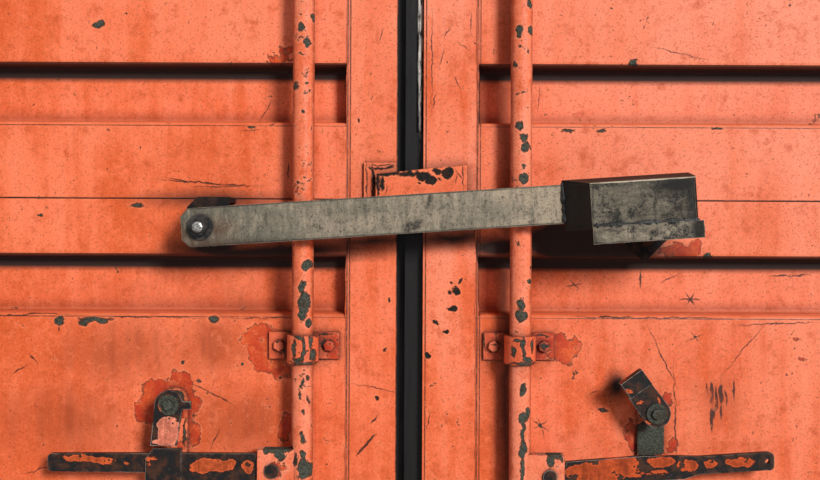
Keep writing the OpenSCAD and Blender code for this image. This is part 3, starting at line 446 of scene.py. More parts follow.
RIGHT_PEELED = on_door(
    (563, 349, 13, 15), (575, 345, 4, 11), (679, 250, 20, 6.5), (694, 246, 8, 8), (668.5, 399.5, 5.5, 8),
    (632, 434, 6.5, 17), (673, 442, 6, 8))
RIGHT_PEELED += [(0.61, 0.7, 0.05, 0.03), (0.76, 1.93, 0.04, 0.022), (0.93, 1.2, 0.018, 0.03)]
RIGHT_BARE = on_door(
    (633, 62, 4, 3), (708, 255.6, 4.6, 4.6), (603.8, 408.2, 4.6, 2), (695.5, 336.4, 2, 1.4),
    (540.5, 425, 1.4, 2.2), (568, 130, 5, 1.8), (716, 127, 5, 1.4), (600, 129, 3.5, 1.2))
RIGHT_BARE += [(0.46, 0.62, 0.012, 0.007), (0.7, 1.52, 0.008, 0.006), (0.55, 1.86, 0.014, 0.005)]
RIGHT_LINES = on_door(
    (696, 299, 9, 0.8, 4), (696, 299, 6, 0.7, 58), (696, 299, 6, 0.7, -55), (578, 285, 6, 0.6, 8),
    (578, 285, 5, 0.5, -42), (695.5, 336.4, 6, 0.5, 15), (695.5, 336.4, 5, 0.5, -50),
    (662.8, 355.5, 25, 0.6, -63.5), (676, 412, 36, 0.6, -88), (744, 348, 22, 0.5, 50),
    (713, 418, 12, 1.2, 90), (707, 387, 6, 0.9, 92), (712, 391, 10, 2.2, 87), (717, 398, 12, 1.5, 91),
    (722, 392, 9, 2.2, 89), (727, 397, 7, 1, 94), (715, 409, 8, 1.3, 88), (722, 410, 7, 1, 90),
    (680, 52, 20, 0.5, -12), (676, 277, 8, 0.7, 28), (645, 279, 1, 7), (541, 425, 7, 0.6, 28),
    (541, 425, 7, 0.6, -32), (542, 427, 8, 0.5, -72), (797, 274.5, 17, 1, 2), (660, 317, 56, 0.5, 0.5),
    (776, 322, 30, 0.6, 2), (540, 96, 9, 0.5, 84), (592, 392, 5, 0.5, 14), (606, 316, 24, 0.7, -1),
    (735, 388, 1, 9))
RIGHT_GRIME = on_door((717, 396, 14, 16), (545, 262, 16, 5), (500, 380, 12, 40))
# Painted shadows under the lock bar and the hood, beside the right catch and along the right rod's left side.
RIGHT_SHADOWS = on_door(
    (505, 247, 40, 9, 3), (566, 241, 44, 20), (612, 251, 52, 11), (617, 386, 7, 9), (506.5, 410, 1.8, 100))
RIGHT_SEAMS = on_door((477.2, 240, 0.55, 900), (480, 240, 0.4, 900))
STILE_BARE = on_door(
    (457, 290, 4.2, 3.4), (450, 292, 2, 2), (453.5, 308.5, 5, 3.8), (437, 321.6, 2.8, 2.4),
    (446.5, 331, 3, 2.6), (428.6, 355, 3, 3.4), (460, 281, 1.6, 2.6), (452, 284, 1.2, 1.4))
STILE_LINES = on_door(
    (431, 60, 0.5, 34), (447, 30, 6, 0.5, 60), (441, 57, 7, 0.5, 74), (463, 46, 5, 0.4, -42),
    (434, 101, 6, 0.5, 80), (470, 22, 7, 0.5, 86), (456, 82, 5, 0.4, -66), (430, 420, 7, 0.5, 78))
STILE_SEAMS = on_door((425.6, 240, 0.5, 900))
# Painted shadow of the lock bar on the stile.
STILE_SHADOW = on_door((452, 237, 34, 5, 3.9))
right_paint = old_paint("right_door_paint", PALE_PAINT, DEEP_PAINT, RIGHT_PEELED, RIGHT_BARE, RIGHT_LINES,
                        RIGHT_SEAMS + RIGHT_CREASES, RIGHT_GRIME, RIGHT_SHADOWS, fade=0.9, seed=20.0)
right_stile_paint = old_paint("right_stile_paint", PALE_PAINT, DEEP_PAINT, (), STILE_BARE, STILE_LINES,
                              STILE_SEAMS, (), STILE_SHADOW, fade=2.0, steel=BLACK_STEEL, seed=24.0)
give(right_paint, "right_panel", "right_outer_stile", "right_rails")
give(right_stile_paint, "right_inner_stile")


def solid(name, points, material, body):
    """A closed skin through a grid of points. Rows run along the piece and columns round it, the columns join
    up, and each end row closes on its own middle. It turns its normals outwards and rides on a body."""
    rows, columns = points.shape[:2]
    ends = np.stack([points[0].mean(axis=0), points[-1].mean(axis=0)])
    corner = np.arange(rows * columns).reshape(rows, columns)
    beside = np.roll(corner, -1, axis=1)
    quads = np.stack([corner[:-1], beside[:-1], beside[1:], corner[1:]], axis=-1).reshape(-1, 4)
    first = np.stack([np.full(columns, rows * columns), beside[0], corner[0]], axis=-1)
    last = np.stack([np.full(columns, rows * columns + 1), corner[-1], beside[-1]], axis=-1)
    mesh = bpy.data.meshes.new(name)
    mesh.from_pydata(np.vstack([points.reshape(-1, 3), ends]).tolist(), [],
                     quads.tolist() + first.tolist() + last.tolist())
    middle = points.reshape(-1, 3).mean(axis=0)
    a, b, c = (points.reshape(-1, 3)[quads[:, i]] - middle for i in range(3))
    if np.einsum("ij,ij->i", a, np.cross(b, c)).sum() < 0:
        mesh.flip_normals()
    mesh.materials.append(material)
    made = bpy.data.objects.new(name, mesh)
    bpy.context.scene.collection.objects.link(made)
    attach(made, body)
    return made


def bead(name, start, end, across, up, wide, high, material, body, ripple=0.0, step=0.004, seed=1):
    """A bead along a straight line from start to end: an oval section, half as wide as told each side of the
    line and as high as told over it. It swells and shrinks at random by the ripple and tapers at its ends."""
    start, end, across, up = (np.array(v, dtype=float) for v in (start, end, across, up))
    count = max(8, int(np.linalg.norm(end - start) / step))
    along = np.linspace(0.0, 1.0, count)
    round_it = np.linspace(0.0, 2.0 * math.pi, 8, endpoint=False)
    random = np.random.default_rng(seed)
    swell = 1.0 + ripple * np.convolve(random.normal(size=count), np.ones(3) / 3.0, mode="same")
    taper = np.clip(np.minimum(along, 1.0 - along) * count / 2.0, 0.05, 1.0) ** 0.5
    size = (swell * taper)[:, None, None]
    ring = (np.cos(round_it)[:, None] * across * wide / 2.0 + np.sin(round_it)[:, None] * up * high)[None]
    line = start + along[:, None] * (end - start)
    return solid(name, line[:, None, :] + ring * size, material, body)


SEAM_WIDE, SEAM_HIGH, SEAM_RIPPLE, SEAM_STEP = 0.0045, 0.0018, 0.35, 0.006
left_x, right_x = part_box("left_inner_stile")[0].x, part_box("right_inner_stile")[1].x
seam_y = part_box("left_inner_stile")[0].y + 0.0006
rail_low, rail_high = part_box("left_panel")[0].z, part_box("left_panel")[1].z
outer_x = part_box("right_outer_stile")[0].x
for side, body, x, finish_of in [("left_inner", "left_leaf", left_x, left_paint),
                                 ("right_inner", "right_leaf", right_x, right_paint),
                                 ("left_outer", "left_leaf", -outer_x, left_paint),
                                 ("right_outer", "right_leaf", outer_x, right_paint)]:
    bead(side + "_seam", (x, seam_y, rail_low), (x, seam_y, rail_high), (1, 0, 0), (0, -1, 0),
         SEAM_WIDE, SEAM_HIGH, finish_of, body, SEAM_RIPPLE, SEAM_STEP, 3)
for side, body, start, end, finish_of in [("left", "left_leaf", -outer_x, left_x, left_paint),
                                          ("right", "right_leaf", right_x, outer_x, right_paint)]:
    for height, z in [("low", rail_low), ("high", rail_high)]:
        bead(side + "_" + height + "_rail_seam", (start, seam_y, z), (end, seam_y, z), (0, 0, 1), (0, -1, 0),
             SEAM_WIDE, SEAM_HIGH, finish_of, body, SEAM_RIPPLE, SEAM_STEP, 4)

# Seals: black rubber lips that close the gap between the doors and the gaps round them. Along one edge of the
# upper half of the lip in the middle, pale painted glints stand for light reflected on the glossy rubber.
rubber, tree, shader, place = blank("rubber")
scuffs = noise(tree, place, 34.0, 6.0, 0.68, (4.0, 4.0, 0.30))
pits = noise(tree, place, 300.0, 3.0)
flakes = noise(tree, place, 120.0, 5.0, 0.7, (3.0, 3.0, 0.5))
RUBBER_GLINTS = [(0.0150, 2.02, 0.0055, 0.47)]
painted_highlight = ramp(tree, ovals(tree, shaken(tree, place, 30.0, 0.006, 3.0), RUBBER_GLINTS), -0.0005, 0.0012)
black = blend(tree, ramp(tree, scuffs, 0.60, 0.72), (0.011, 0.010, 0.0095), (0.035, 0.033, 0.030))
# Painted glints: pale streaks for light reflected on the glossy rubber.
glint_colour = blend(tree, ramp(tree, flakes, 0.40, 0.50), (0.012, 0.010, 0.009), (0.80, 0.74, 0.66))
black = blend(tree, times(tree, painted_highlight, ramp(tree, scuffs, 0.36, 0.44)), black, glint_colour)
finish(shader, tree, black, ramp(tree, scuffs, 0.35, 0.65, 0.30, 0.60), pits, 0.0003, shine=0.15)
give(rubber, "left_seal", "right_seal")

# Frame: posts and box sections of pressed steel with cast corner blocks, welded and painted like the
# doors. The castings and the sill take the knocks, so they are the most chipped.
FRAME_DEEP = (0.62, 0.085, 0.026)
FRAME_PALE = (0.80, 0.170, 0.075)
post_paint = old_paint("post_paint", PALE_PAINT, DEEP_PAINT, peel=0.66, chip=0.70, seed=3.0)
frame_paint = old_paint("frame_paint", FRAME_PALE, FRAME_DEEP, peel=0.62, chip=0.64, edge=0.005,
                        edge_wear=1.0, seed=5.0)
give(post_paint, "left_post", "right_post")
give(frame_paint, "sill", "header", "bottom_castings", "top_castings", "bottom_keepers", "top_keepers")

CASTING_WIDE, CASTING_HIGH = 0.162, 0.118
POST_FRONT = -0.1
WELD_WIDE, WELD_HIGH, WELD_RIPPLE, WELD_STEP = 0.009, 0.003, 0.5, 0.004
front_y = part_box("sill")[0].y
casting_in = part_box("right_post")[1].x - CASTING_WIDE
post_weld_in, post_weld_out = casting_in + 0.116, casting_in + 0.160
bottom_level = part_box("bottom_castings")[0].z + CASTING_HIGH
top_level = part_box("top_castings")[1].z - CASTING_HIGH
for side, sign in [("left", -1.0), ("right", 1.0)]:
    for height, start, end, level in [("bottom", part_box("sill")[0].z, bottom_level, bottom_level),
                                      ("top", top_level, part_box("header")[1].z, top_level)]:
        bead(f"{height}_{side}_casting_weld", (sign * casting_in, front_y, start),
             (sign * casting_in, front_y, end), (1, 0, 0), (0, -1, 0), WELD_WIDE, WELD_HIGH, frame_paint,
             "frame", WELD_RIPPLE, WELD_STEP, 5)
        bead(f"{height}_{side}_post_weld", (sign * post_weld_in, POST_FRONT, level),
             (sign * post_weld_out, POST_FRONT, level), (0, 0, 1), (0, -1, 0), WELD_WIDE, WELD_HIGH,
             frame_paint, "frame", WELD_RIPPLE, WELD_STEP, 6)

# Hinges: forged blades that turn on steel pins between lugs on the posts, bolted through the outer stile.
# They are painted over with the doors, and their edges have chipped down to bare steel.
hinge_paint = old_paint("hinge_paint", PALE_PAINT, FRAME_DEEP, peel=0.64, chip=0.66, edge_wear=1.0, seed=7.0)
give(hinge_paint, "left_hinge_lugs", "right_hinge_lugs", "left_hinge_blades", "right_hinge_blades")


def bolt_head(radius, height):
    """Grid of points of a six-sided bolt head round the Y axis, its foot at 0 and its top at minus its height.
    The radius follows the flats, and a chamfer cuts the top edge down to a circle."""
    turn = np.linspace(0.0, 2.0 * math.pi, 48, endpoint=False)
    sector = math.pi / 3.0
    flats = np.cos(sector / 2.0) / np.cos(np.mod(turn, sector) - sector / 2.0)
    profile = np.array([[1.0, 0.0], [1.0, 0.80], [0.93, 0.97], [0.60, 1.0], [0.05, 1.0]])
    limit = np.array([2.0, 2.0, 0.8944, 0.5676, 0.06])
    reach = np.minimum(profile[:, :1] * flats, limit[:, None]) * radius
    return np.stack([reach * np.cos(turn), np.repeat(-profile[:, 1:] * height, 48, axis=1),
                     reach * np.sin(turn)], axis=-1)


def turned(profile, points=40):
    """Grid of points of a turned piece round the Y axis, from pairs of radius and distance forward."""
    turn = np.linspace(0.0, 2.0 * math.pi, points, endpoint=False)
    radius, forward = np.array(profile, dtype=float).T
    return np.stack([radius[:, None] * np.cos(turn), np.repeat(-forward[:, None], points, axis=1),
                     radius[:, None] * np.sin(turn)], axis=-1)


def spun(points, degrees):
    """The points turned about the Y axis."""
    c, s = math.cos(math.radians(degrees)), math.sin(math.radians(degrees))
    return points @ np.array([[c, 0.0, s], [0.0, 1.0, 0.0], [-s, 0.0, c]]).T


BLADE_HEIGHTS = [0.270, 0.905, 1.540, 2.175]
BLADE_BOLTS = [1.122, 1.092]
BLADE_FRONT = -0.118
for side, sign, body in [("left", -1.0, "left_leaf"), ("right", 1.0, "right_leaf")]:
    for i, z in enumerate(BLADE_HEIGHTS):
        for j, x in enumerate(BLADE_BOLTS):
            head = spun(bolt_head(0.0085, 0.006), 17 * i + 25 * j) + np.array([sign * x, BLADE_FRONT, z])
            solid(f"{side}_hinge_bolt_{i}_{j}", head, hinge_paint, body)

# Lock rods: steel tubes that run up each door and turn cams in keepers on sill and header. The paint has
# chipped off the tubes in ragged flakes, and off the upper edges of the levers' hubs.
ROD_NEARER = 0.97
ROD_CHIPS = in_photo(ROD_NEARER,
    (300, 26.8, 3.6, 4.6), (311, 16.5, 2.4, 3.6), (306, 42, 2.8, 3.2), (300.5, 53, 2.6, 0.8),
    (305.5, 82, 1.8, 1.8), (294.5, 85, 2.4, 3.6), (302.5, 112, 1.6, 2), (297.5, 182.5, 1.6, 1.8),
    (306.5, 266.2, 4.6, 6), (302, 288, 4, 6), (304, 303.5, 6, 11), (302.3, 316, 3.6, 5),
    (309, 323.7, 3.4, 4.4), (303.8, 437.5, 2.2, 5.6), (303.5, 455.5, 2.4, 4.6), (304, 470, 5.4, 11),
    (303, 384, 1.6, 5), (308, 378, 1.3, 3), (300, 397, 1.4, 4), (308.5, 402, 1.2, 4), (304, 413, 1.6, 3),
    (296, 462, 1.6, 5), (309, 470, 3, 8), (529.5, 3, 2.4, 4), (518.7, 30.5, 3.6, 6), (531, 29.5, 2.4, 4.4),
    (528.2, 51.7, 1.4, 2), (515.7, 62.5, 1.6, 3), (519, 125, 3.2, 4.8), (524.5, 136, 4.8, 3.6),
    (525.5, 146, 5.6, 6), (524, 177.5, 4.4, 5), (530, 281, 2.6, 2.8), (522.5, 303.7, 3.8, 6),
    (521.7, 316.2, 5.6, 6.4), (524.2, 389, 4.2, 6.4), (529, 413.7, 2.8, 5), (524.2, 418.7, 3.4, 5.6),
    (524, 433, 2.2, 12), (524, 450, 3.6, 8.6), (524, 470, 2.6, 12))
HUB_BARE = in_photo(ROD_NEARER,
    (277, 451, 14, 3), (279.5, 457, 5.6, 5), (265, 452, 2.6, 4), (287, 450, 5, 3.4), (556.5, 455, 7.8, 4.4),
    (552.5, 462, 3.8, 6), (563, 457, 1.6, 5))
# The rods' sides that face left and right carry painted shade.
rod_paint = old_paint("rod_paint", (0.92, 0.255, 0.138), (0.74, 0.115, 0.030), (), ROD_CHIPS + HUB_BARE,
                      peel=0.67, chip=0.66, edge_wear=0.7, side_shade=0.8, seed=9.0)
give(rod_paint, "left_inner_rod", "right_inner_rod", "left_outer_rod", "right_outer_rod")

# Rod guides: a pressed base plate with a strap over the rod, held on the door by two bolts and painted
# over in place. The paint has cracked off the strap along its middle and its lower edge.
GUIDE_BARE = in_photo(ROD_NEARER,
    (303.5, 350, 1.7, 14), (294, 349, 2, 8), (298, 360, 5.4, 2.6), (311.5, 343, 1.5, 7), (313.5, 356, 2.4, 6),
    (304, 363.6, 13, 1.4), (524, 349, 1.8, 14), (527, 359.5, 5.4, 2.8), (514, 352, 1.8, 5),
    (533, 346, 1.5, 6), (524, 363.6, 13, 1.4), (519, 340, 5, 2), (299, 338, 5, 2), (282.5, 357, 1, 4),
    (321, 337, 6, 0.8), (342, 345, 0.8, 6), (487, 344, 0.8, 8), (545, 338, 6, 0.8))
guide_paint = old_paint("guide_paint", (0.80, 0.155, 0.062), (0.54, 0.066, 0.019), (), GUIDE_BARE, peel=0.61,
                        chip=0.65, edge=0.002, edge_wear=0.9, seed=11.0)
bolt_paint = old_paint("bolt_paint", FRAME_PALE, (0.38, 0.045, 0.020), peel=0.56, chip=0.60, edge=0.002,
                       edge_wear=0.8, seed=12.0)
give(guide_paint, "left_rod_guides", "right_rod_guides")
GUIDE_HEIGHTS = [0.130, 0.539, 1.208, 2.130, 2.315]
BASE_FRONT = -0.116
for side, rods, body in [("left", (-0.168, -0.870), "left_leaf"), ("right", (0.174, 0.870), "right_leaf")]:
    for x in rods:
        for z in GUIDE_HEIGHTS:
            for end in (-0.040, 0.040):
                name = f"guide_bolt_{round(1000 * (x + end))}_{round(1000 * z)}".replace("-", "m")
                tightened = (x * 7919 + z * 104729 + end * 1299) % 60
                head = spun(bolt_head(0.0095, 0.0075), tightened) + np.array([x + end, BASE_FRONT, z])
                solid(name, head, bolt_paint, body)

# Levers: flat bars riveted in the hubs of the rods, used to turn them. Hands have worn the orange paint
# off their edges and ends, down to black oxidised steel, with paint left along the middle.
WORN_BLACK = (0.012, 0.011, 0.011)
WORN_BROWN = (0.058, 0.024, 0.014)
LEFT_PAINT = (0.60, 0.102, 0.028)
RIGHT_PAINT = (0.58, 0.086, 0.020)


def worn_to_black(name, keep, left, marks=(), rub=0.5, seed=0.0):
    """Black worn steel, greyer along rubbed edges, with painted glints on the sharpest edges and painted shade
    in corners, on which paint is left in marked places and where cloudy noise, kept away from edges, is high
    enough. The paint has a pale broken rim of painted highlight, a dark outline of painted shadow, and dark
    holes."""
    made, tree, shader, place = blank(name)
    moved = add(tree, "ShaderNodeMapping", {"Vector": place, "Location": (0.0, seed, 0.0)}).outputs[0]
    cloud = noise(tree, moved, 24.0, 6.0, 0.68, (0.35, 1.0, 1.0))
    grain = noise(tree, moved, 260.0, 4.0, 0.6)
    patch = noise(tree, moved, 60.0, 4.0, 0.6)
    rain = noise(tree, moved, 90.0, 4.0, 0.6, (1.0, 1.0, 0.12))
    corner = wear_at_edges(tree, 0.003)
    field = times(tree, less(tree, less(tree, cloud, times(tree, corner, 0.16)), keep), 0.04)
    field = ovals(tree, shaken(tree, moved, 55.0, 0.018, 6.0), marks, field)
    field = less(tree, field, times(tree, corner, 0.009))
    holes = times(tree, less(tree, 0.60, patch), 0.05)
    field = combine(tree, "MINIMUM", field, holes)
    kept = ramp(tree, field, 0.0, 0.0005)

    black = blend(tree, ramp(tree, patch, 0.44, 0.60), WORN_BLACK, WORN_BROWN)
    black = blend(tree, ramp(tree, grain, 0.60, 0.74, 0.0, 0.35), black, (0.12, 0.11, 0.09))
    handled = times(tree, corner, ramp(tree, patch, 0.42, 0.60, 0.0, rub))
    black = blend(tree, handled, black, (0.15, 0.14, 0.12))
    # Painted glints along the sharpest edges.
    glint = times(tree, wear_at_edges(tree, 0.0012), ramp(tree, cloud, 0.46, 0.56, 0.0, rub))
    black = blend(tree, glint, black, (0.60, 0.54, 0.46))
    paint = blend(tree, ramp(tree, patch, 0.42, 0.58), tint(left, 0.60), left)
    paint = blend(tree, ramp(tree, rain, 0.50, 0.62, 0.0, 0.7), paint, tint(left, 0.35))
    paint = blend(tree, ramp(tree, grain, 0.56, 0.70, 0.0, 0.6), paint, tint(left, 0.25))
    # Pale rim of painted highlight along the paint's edge.
    rim = times(tree, kept, ramp(tree, field, 0.0024, 0.0006))
    paint = blend(tree, times(tree, rim, 0.6), paint, tint(left, 1.5))
    colour = blend(tree, kept, black, paint)
    # Dark outline of painted shadow at the paint's edge.
    cut = ramp(tree, combine(tree, "ABSOLUTE", field), 0.0010, 0.0003, 0.0, 0.8)
    colour = blend(tree, cut, colour, (0.020, 0.010, 0.008))
    # Painted shade in corners.
    colour = blend(tree, ramp(tree, openness(tree, 0.02), 0.80, 0.40, 0.0, 0.85), colour, SHADE_BLACK)
    height = plus(tree, times(tree, patch, 0.5), times(tree, grain, 0.35))
    finish(shader, tree, colour, ramp(tree, grain, 0.3, 0.7, 0.42, 0.66), height, 0.0010, shine=0.12)
    return made


LEVER_NEARER = 0.98
LEFT_LEVER_PAINT = in_photo(LEVER_NEARER,
    (86, 460.2, 24, 4.1, -2), (106, 462, 11, 3.6), (128, 463, 4, 1.4), (150.5, 461, 2, 6), (213, 466, 23, 7),
    (200, 470, 10, 4), (249.5, 467.5, 6.2, 6.4), (232, 463, 7, 3))
RIGHT_LEVER_PAINT = in_photo(LEVER_NEARER,
    (588, 471, 24, 10, 4), (615, 467, 25, 10.5, 5), (602, 476, 26, 7, 4), (629, 465, 12, 9.5, 5),
    (662, 460, 14, 6, 2), (661, 470, 9, 2), (688, 464, 11, 6), (711, 462.5, 7, 3.8), (741, 460.5, 15, 4.4, 3),
    (729, 459.4, 4.4, 3.4))
left_lever_finish = worn_to_black("left_lever_finish", 0.66, LEFT_PAINT, LEFT_LEVER_PAINT)
right_lever_finish = worn_to_black("right_lever_finish", 0.62, RIGHT_PAINT, RIGHT_LEVER_PAINT, 0.8, 2.0)
outer_lever_finish = worn_to_black("outer_lever_finish", 0.50, LEFT_PAINT, seed=3.0)
give(left_lever_finish, "left_lever")
give(right_lever_finish, "right_lever")
give(outer_lever_finish, "left_outer_lever", "right_outer_lever")

# Lever catches: a bracket welded on each door, with a plate on a pin that drops over the lever. They are
# handled and knocked, so the plates are worn black with scraps of paint, and the brackets are chipped.
BRACKET_BARE = in_photo(0.99, (653.6, 439, 17, 21), (184, 434, 1.5, 12))
BRACKET_BARE += [(-0.374, 1.119, 0.017, 0.017), (0.385, 1.1085, 0.017, 0.017)]
LEFT_CATCH_PAINT = in_photo(0.975,
    (170, 425, 11, 8), (170.5, 434, 10.5, 12), (166, 443, 13, 4.4), (170, 397, 4, 2))
RIGHT_CATCH_PAINT = in_photo(0.965,
    (630, 391, 4.6, 2, -8), (636, 408, 13, 1.7, -56), (643, 403, 4.6, 1.2, 40), (650, 422, 7, 1.5, -18),
    (662, 401, 1.2, 5, 30))
bracket_finish = old_paint("bracket_finish", PALE_PAINT, FRAME_DEEP, (), BRACKET_BARE, peel=0.58, chip=0.62,
                           edge_wear=1.0, seed=13.0)
left_catch_finish = worn_to_black("left_catch_finish", 0.66, (0.90, 0.25, 0.15), LEFT_CATCH_PAINT, 1.0, 4.0)
right_catch_finish = worn_to_black("right_catch_finish", 0.58, LEFT_PAINT, RIGHT_CATCH_PAINT, 1.0, 6.0)
give(bracket_finish, "left_catch_bracket", "right_catch_bracket")
give(left_catch_finish, "left_catch")
give(right_catch_finish, "right_catch")

# Overlap plate: a thick plate welded on the right door over a spacer, so that the left door can't open
# first. The paint along its top edge is knocked off in black chips.
PLATE_NEARER = 0.985
PLATE_BARE = in_photo(PLATE_NEARER,
    (423, 176, 6.4, 3.6), (430.5, 180.5, 5.6, 5), (437, 170.5, 4.4, 2.8), (447, 172, 5.8, 5.4),
    (410, 174, 13, 1.5), (377.6, 184, 1.5, 12), (381.5, 183, 1.8, 7), (384, 172.6, 9, 2.6, 4),
    (394, 173.6, 5, 1.4), (419, 182, 1.4, 1), (439, 178, 1.2, 1))
PLATE_LINES = in_photo(PLATE_NEARER,
    (459, 173, 5, 0.5, -60), (456, 178, 4, 0.5, 75), (462.5, 175, 0.5, 14), (386, 190, 4, 0.5, 80))
plate_paint = old_paint("plate_paint", tint(PALE_PAINT, 1.08), (0.76, 0.125, 0.036), (), PLATE_BARE,
                        PLATE_LINES, edge_wear=1.3, chip=0.69, steel=BLACK_STEEL, seed=15.0)
give(plate_paint, "overlap_plate")

# Lock bar: a flat bar of bare mild steel, turning on a bolt in a channel on the left door. Rain has
# dulled it to a brownish grey with dark stains, and the bolt bleeds rust beside and below it.
BAR_PALE = (0.34, 0.272, 0.192)
BAR_MIDDLE = (0.150, 0.134, 0.100)
BAR_DARK = (0.034, 0.030, 0.024)
BAR_HALF_HIGH = 0.0292
TILT = math.radians(3.9)
pivot = np.array([-0.322, 0.0, 1.395])


def on_bar(along, front, up):
    """A point given along the bar from its pivot, by its distance in front, and square to the bar."""
    return (pivot[0] + along * math.cos(TILT) - up * math.sin(TILT), -front,
            pivot[2] + along * math.sin(TILT) + up * math.cos(TILT))


def bare_steel(name, pale, middle, dark, stain=0.55, marks=(), rust=(), edges=(), shadow_marks=(), bright=(),
               along=(0.25, 1.0, 1.0), rough=0.5, worn=1.4, slope=0.0, centre=0.0, shade_on_left=0.0, shade_on_top=0.0):
    """Dull weathered steel: grey clouds and fine scratches drawn along the grain, dark stains and pits, soft
    rust in places, painted shadows in marked places, dark broken lines along marked edges and painted
    highlights along others, worn corners with a dark band beside them, a tone that pales along X by the slope,
    and painted shade in corners, on what faces down and, as far as told, on what faces left or up."""
    made, tree, shader, place = blank(name)
    cloud = noise(tree, place, 14.0, 7.0, 0.70, along)
    brush = noise(tree, place, 110.0, 5.0, 0.70, (along[2], 1.0, along[0]))
    grain = noise(tree, place, 340.0, 4.0, 0.72)
    blots = noise(tree, place, 30.0, 6.0, 0.78)
    tone = plus(tree, cloud, times(tree, less(tree, along_axis(tree, place, 0), centre), slope))
    colour = blend(tree, ramp(tree, tone, 0.36, 0.64), middle, pale)
    colour = blend(tree, ramp(tree, brush, 0.50, 0.68, 0.0, 0.70), colour, tint(middle, 0.60))
    colour = blend(tree, ramp(tree, brush, 0.48, 0.30, 0.0, 0.55), colour, tint(pale, 1.25))
    colour = blend(tree, ramp(tree, grain, 0.53, 0.66, 0.0, 0.80), colour, dark)
    stained = times(tree, less(tree, blots, stain), 0.05)
    stained = ramp(tree, ovals(tree, shaken(tree, place, 70.0, 0.012), marks, stained), -0.0020, 0.0020)
    stained = times(tree, stained, ramp(tree, grain, 0.35, 0.55, 0.40, 1.0))
    colour = blend(tree, stained, colour, dark)
    margin = times(tree, wear_at_edges(tree, 0.0055), ramp(tree, cloud, 0.40, 0.60, 0.85, 0.25))
    colour = blend(tree, margin, colour, dark)
    if edges:
        dirty = ramp(tree, ovals(tree, shaken(tree, place, 60.0, 0.0022), edges), -0.0012, 0.0006)
        colour = blend(tree, times(tree, dirty, ramp(tree, blots, 0.38, 0.58, 0.35, 0.9)), colour, dark)
    # Painted shadows in marked places.
    if shadow_marks:
        marked_shadow = ramp(tree, ovals(tree, shaken(tree, place, 20.0, 0.010), shadow_marks), -0.010, 0.003, 0.0, 0.95)
        colour = blend(tree, marked_shadow, colour, tint(dark, 0.7))
    if rust:
        rusty = ramp(tree, ovals(tree, place, rust), -0.012, 0.008)
        rusty = times(tree, rusty, ramp(tree, brush, 0.35, 0.6, 0.35, 0.85))
        colour = blend(tree, rusty, colour, (0.095, 0.045, 0.028))
    corner = times(tree, wear_at_edges(tree, 0.0014), ramp(tree, blots, 0.44, 0.55, 0.05, 0.8))
    colour = blend(tree, corner, colour, tint(pale, worn))
    # Painted highlights along marked edges.
    if bright:
        painted_highlight = ramp(tree, ovals(tree, shaken(tree, place, 60.0, 0.0016), bright), -0.0008, 0.0003)
        painted_highlight = times(tree, painted_highlight, ramp(tree, cloud, 0.36, 0.50, 0.25, 0.85))
        colour = blend(tree, painted_highlight, colour, tint(pale, worn))

    # Painted shade in corners.
    colour = blend(tree, ramp(tree, openness(tree, 0.012), 0.80, 0.45, 0.0, 0.75), colour, tint(dark, 0.5))
    # Painted shade on faces that point down and, as far as told, on faces that point left or up.
    up = facing(tree, 2)
    black = ramp(tree, up, -0.3, -0.8, 0.0, 0.85)
    if shade_on_left:
        black = larger(tree, black, ramp(tree, facing(tree, 0), -0.25, -0.60, 0.0, shade_on_left))
    if shade_on_top:
        black = larger(tree, black, ramp(tree, up, 0.30, 0.55, 0.0, shade_on_top))
    colour = blend(tree, black, colour, tint(dark, 0.5))
    height = plus(tree, times(tree, grain, 0.5), times(tree, blots, 0.5))
    metal = ramp(tree, larger(tree, stained, black), 0.0, 0.7, 0.28, 0.0)
    tree.links.new(metal, shader.inputs["Metallic"])
    finish(shader, tree, colour, ramp(tree, grain, 0.3, 0.7, rough, rough + 0.2), height, 0.0005, None, 0.15)
    return made


BAR_NEARER = 0.958
BAR_STAINS = in_photo(BAR_NEARER,
    (413, 226, 8, 4.4), (408, 229, 6, 3), (418, 222, 5, 3), (429, 200, 2, 9, -14), (226, 205, 5, 2.4),
    (448, 194, 6, 1, -40), (330, 199, 5, 0.7, -30))
BAR_RUST = in_photo(BAR_NEARER, (217, 229, 14, 8), (199, 243, 22, 4), (186, 236, 6, 8))
# Painted shadows: the hood's shadow on the bar's right end, and a strip along its lower edge by the pivot.
BAR_SHADOWS = in_photo(BAR_NEARER, (583, 206, 15, 60), (224, 247, 30, 2.5, 3.9))
BAR_EDGES = [(*on_bar(0.3, 0.0, up)[::2], 2.0, 0.0012, 3.9) for up in (-BAR_HALF_HIGH, BAR_HALF_HIGH)]
bar_finish = bare_steel("bar_finish", BAR_PALE, BAR_MIDDLE, BAR_DARK, 0.63, BAR_STAINS, BAR_RUST, BAR_EDGES,
                        BAR_SHADOWS, slope=0.45)
give(bar_finish, "lock_bar")

# Pivot of the lock bar: a channel welded on the left door, and a bolt through it with a large washer and
# a nut. Bolt and nut are black with grease and rust, and the bolt's end is rubbed bright.
black_steel, tree, shader, place = blank("black_steel")
grime = noise(tree, place, 90.0, 6.0, 0.7)
black = blend(tree, ramp(tree, grime, 0.42, 0.66), (0.012, 0.012, 0.012), (0.060, 0.050, 0.044))
finish(shader, tree, black, ramp(tree, grime, 0.35, 0.65, 0.30, 0.62), grime, 0.0012, 0.3, 0.3)
give(black_steel, "bar_pivot_bolt")
sooty_steel, tree, shader, place = blank("sooty_steel")
crust = noise(tree, place, 60.0, 6.0, 0.7)
black = blend(tree, ramp(tree, crust, 0.46, 0.66), (0.014, 0.012, 0.012), (0.050, 0.026, 0.018))
finish(shader, tree, black, ramp(tree, crust, 0.35, 0.65, 0.60, 0.80), crust, 0.0015, 0.0, 0.05)
give(sooty_steel, "bar_bracket", "hasp_plate")
rubbed_steel, tree, shader, place = blank("rubbed_steel")
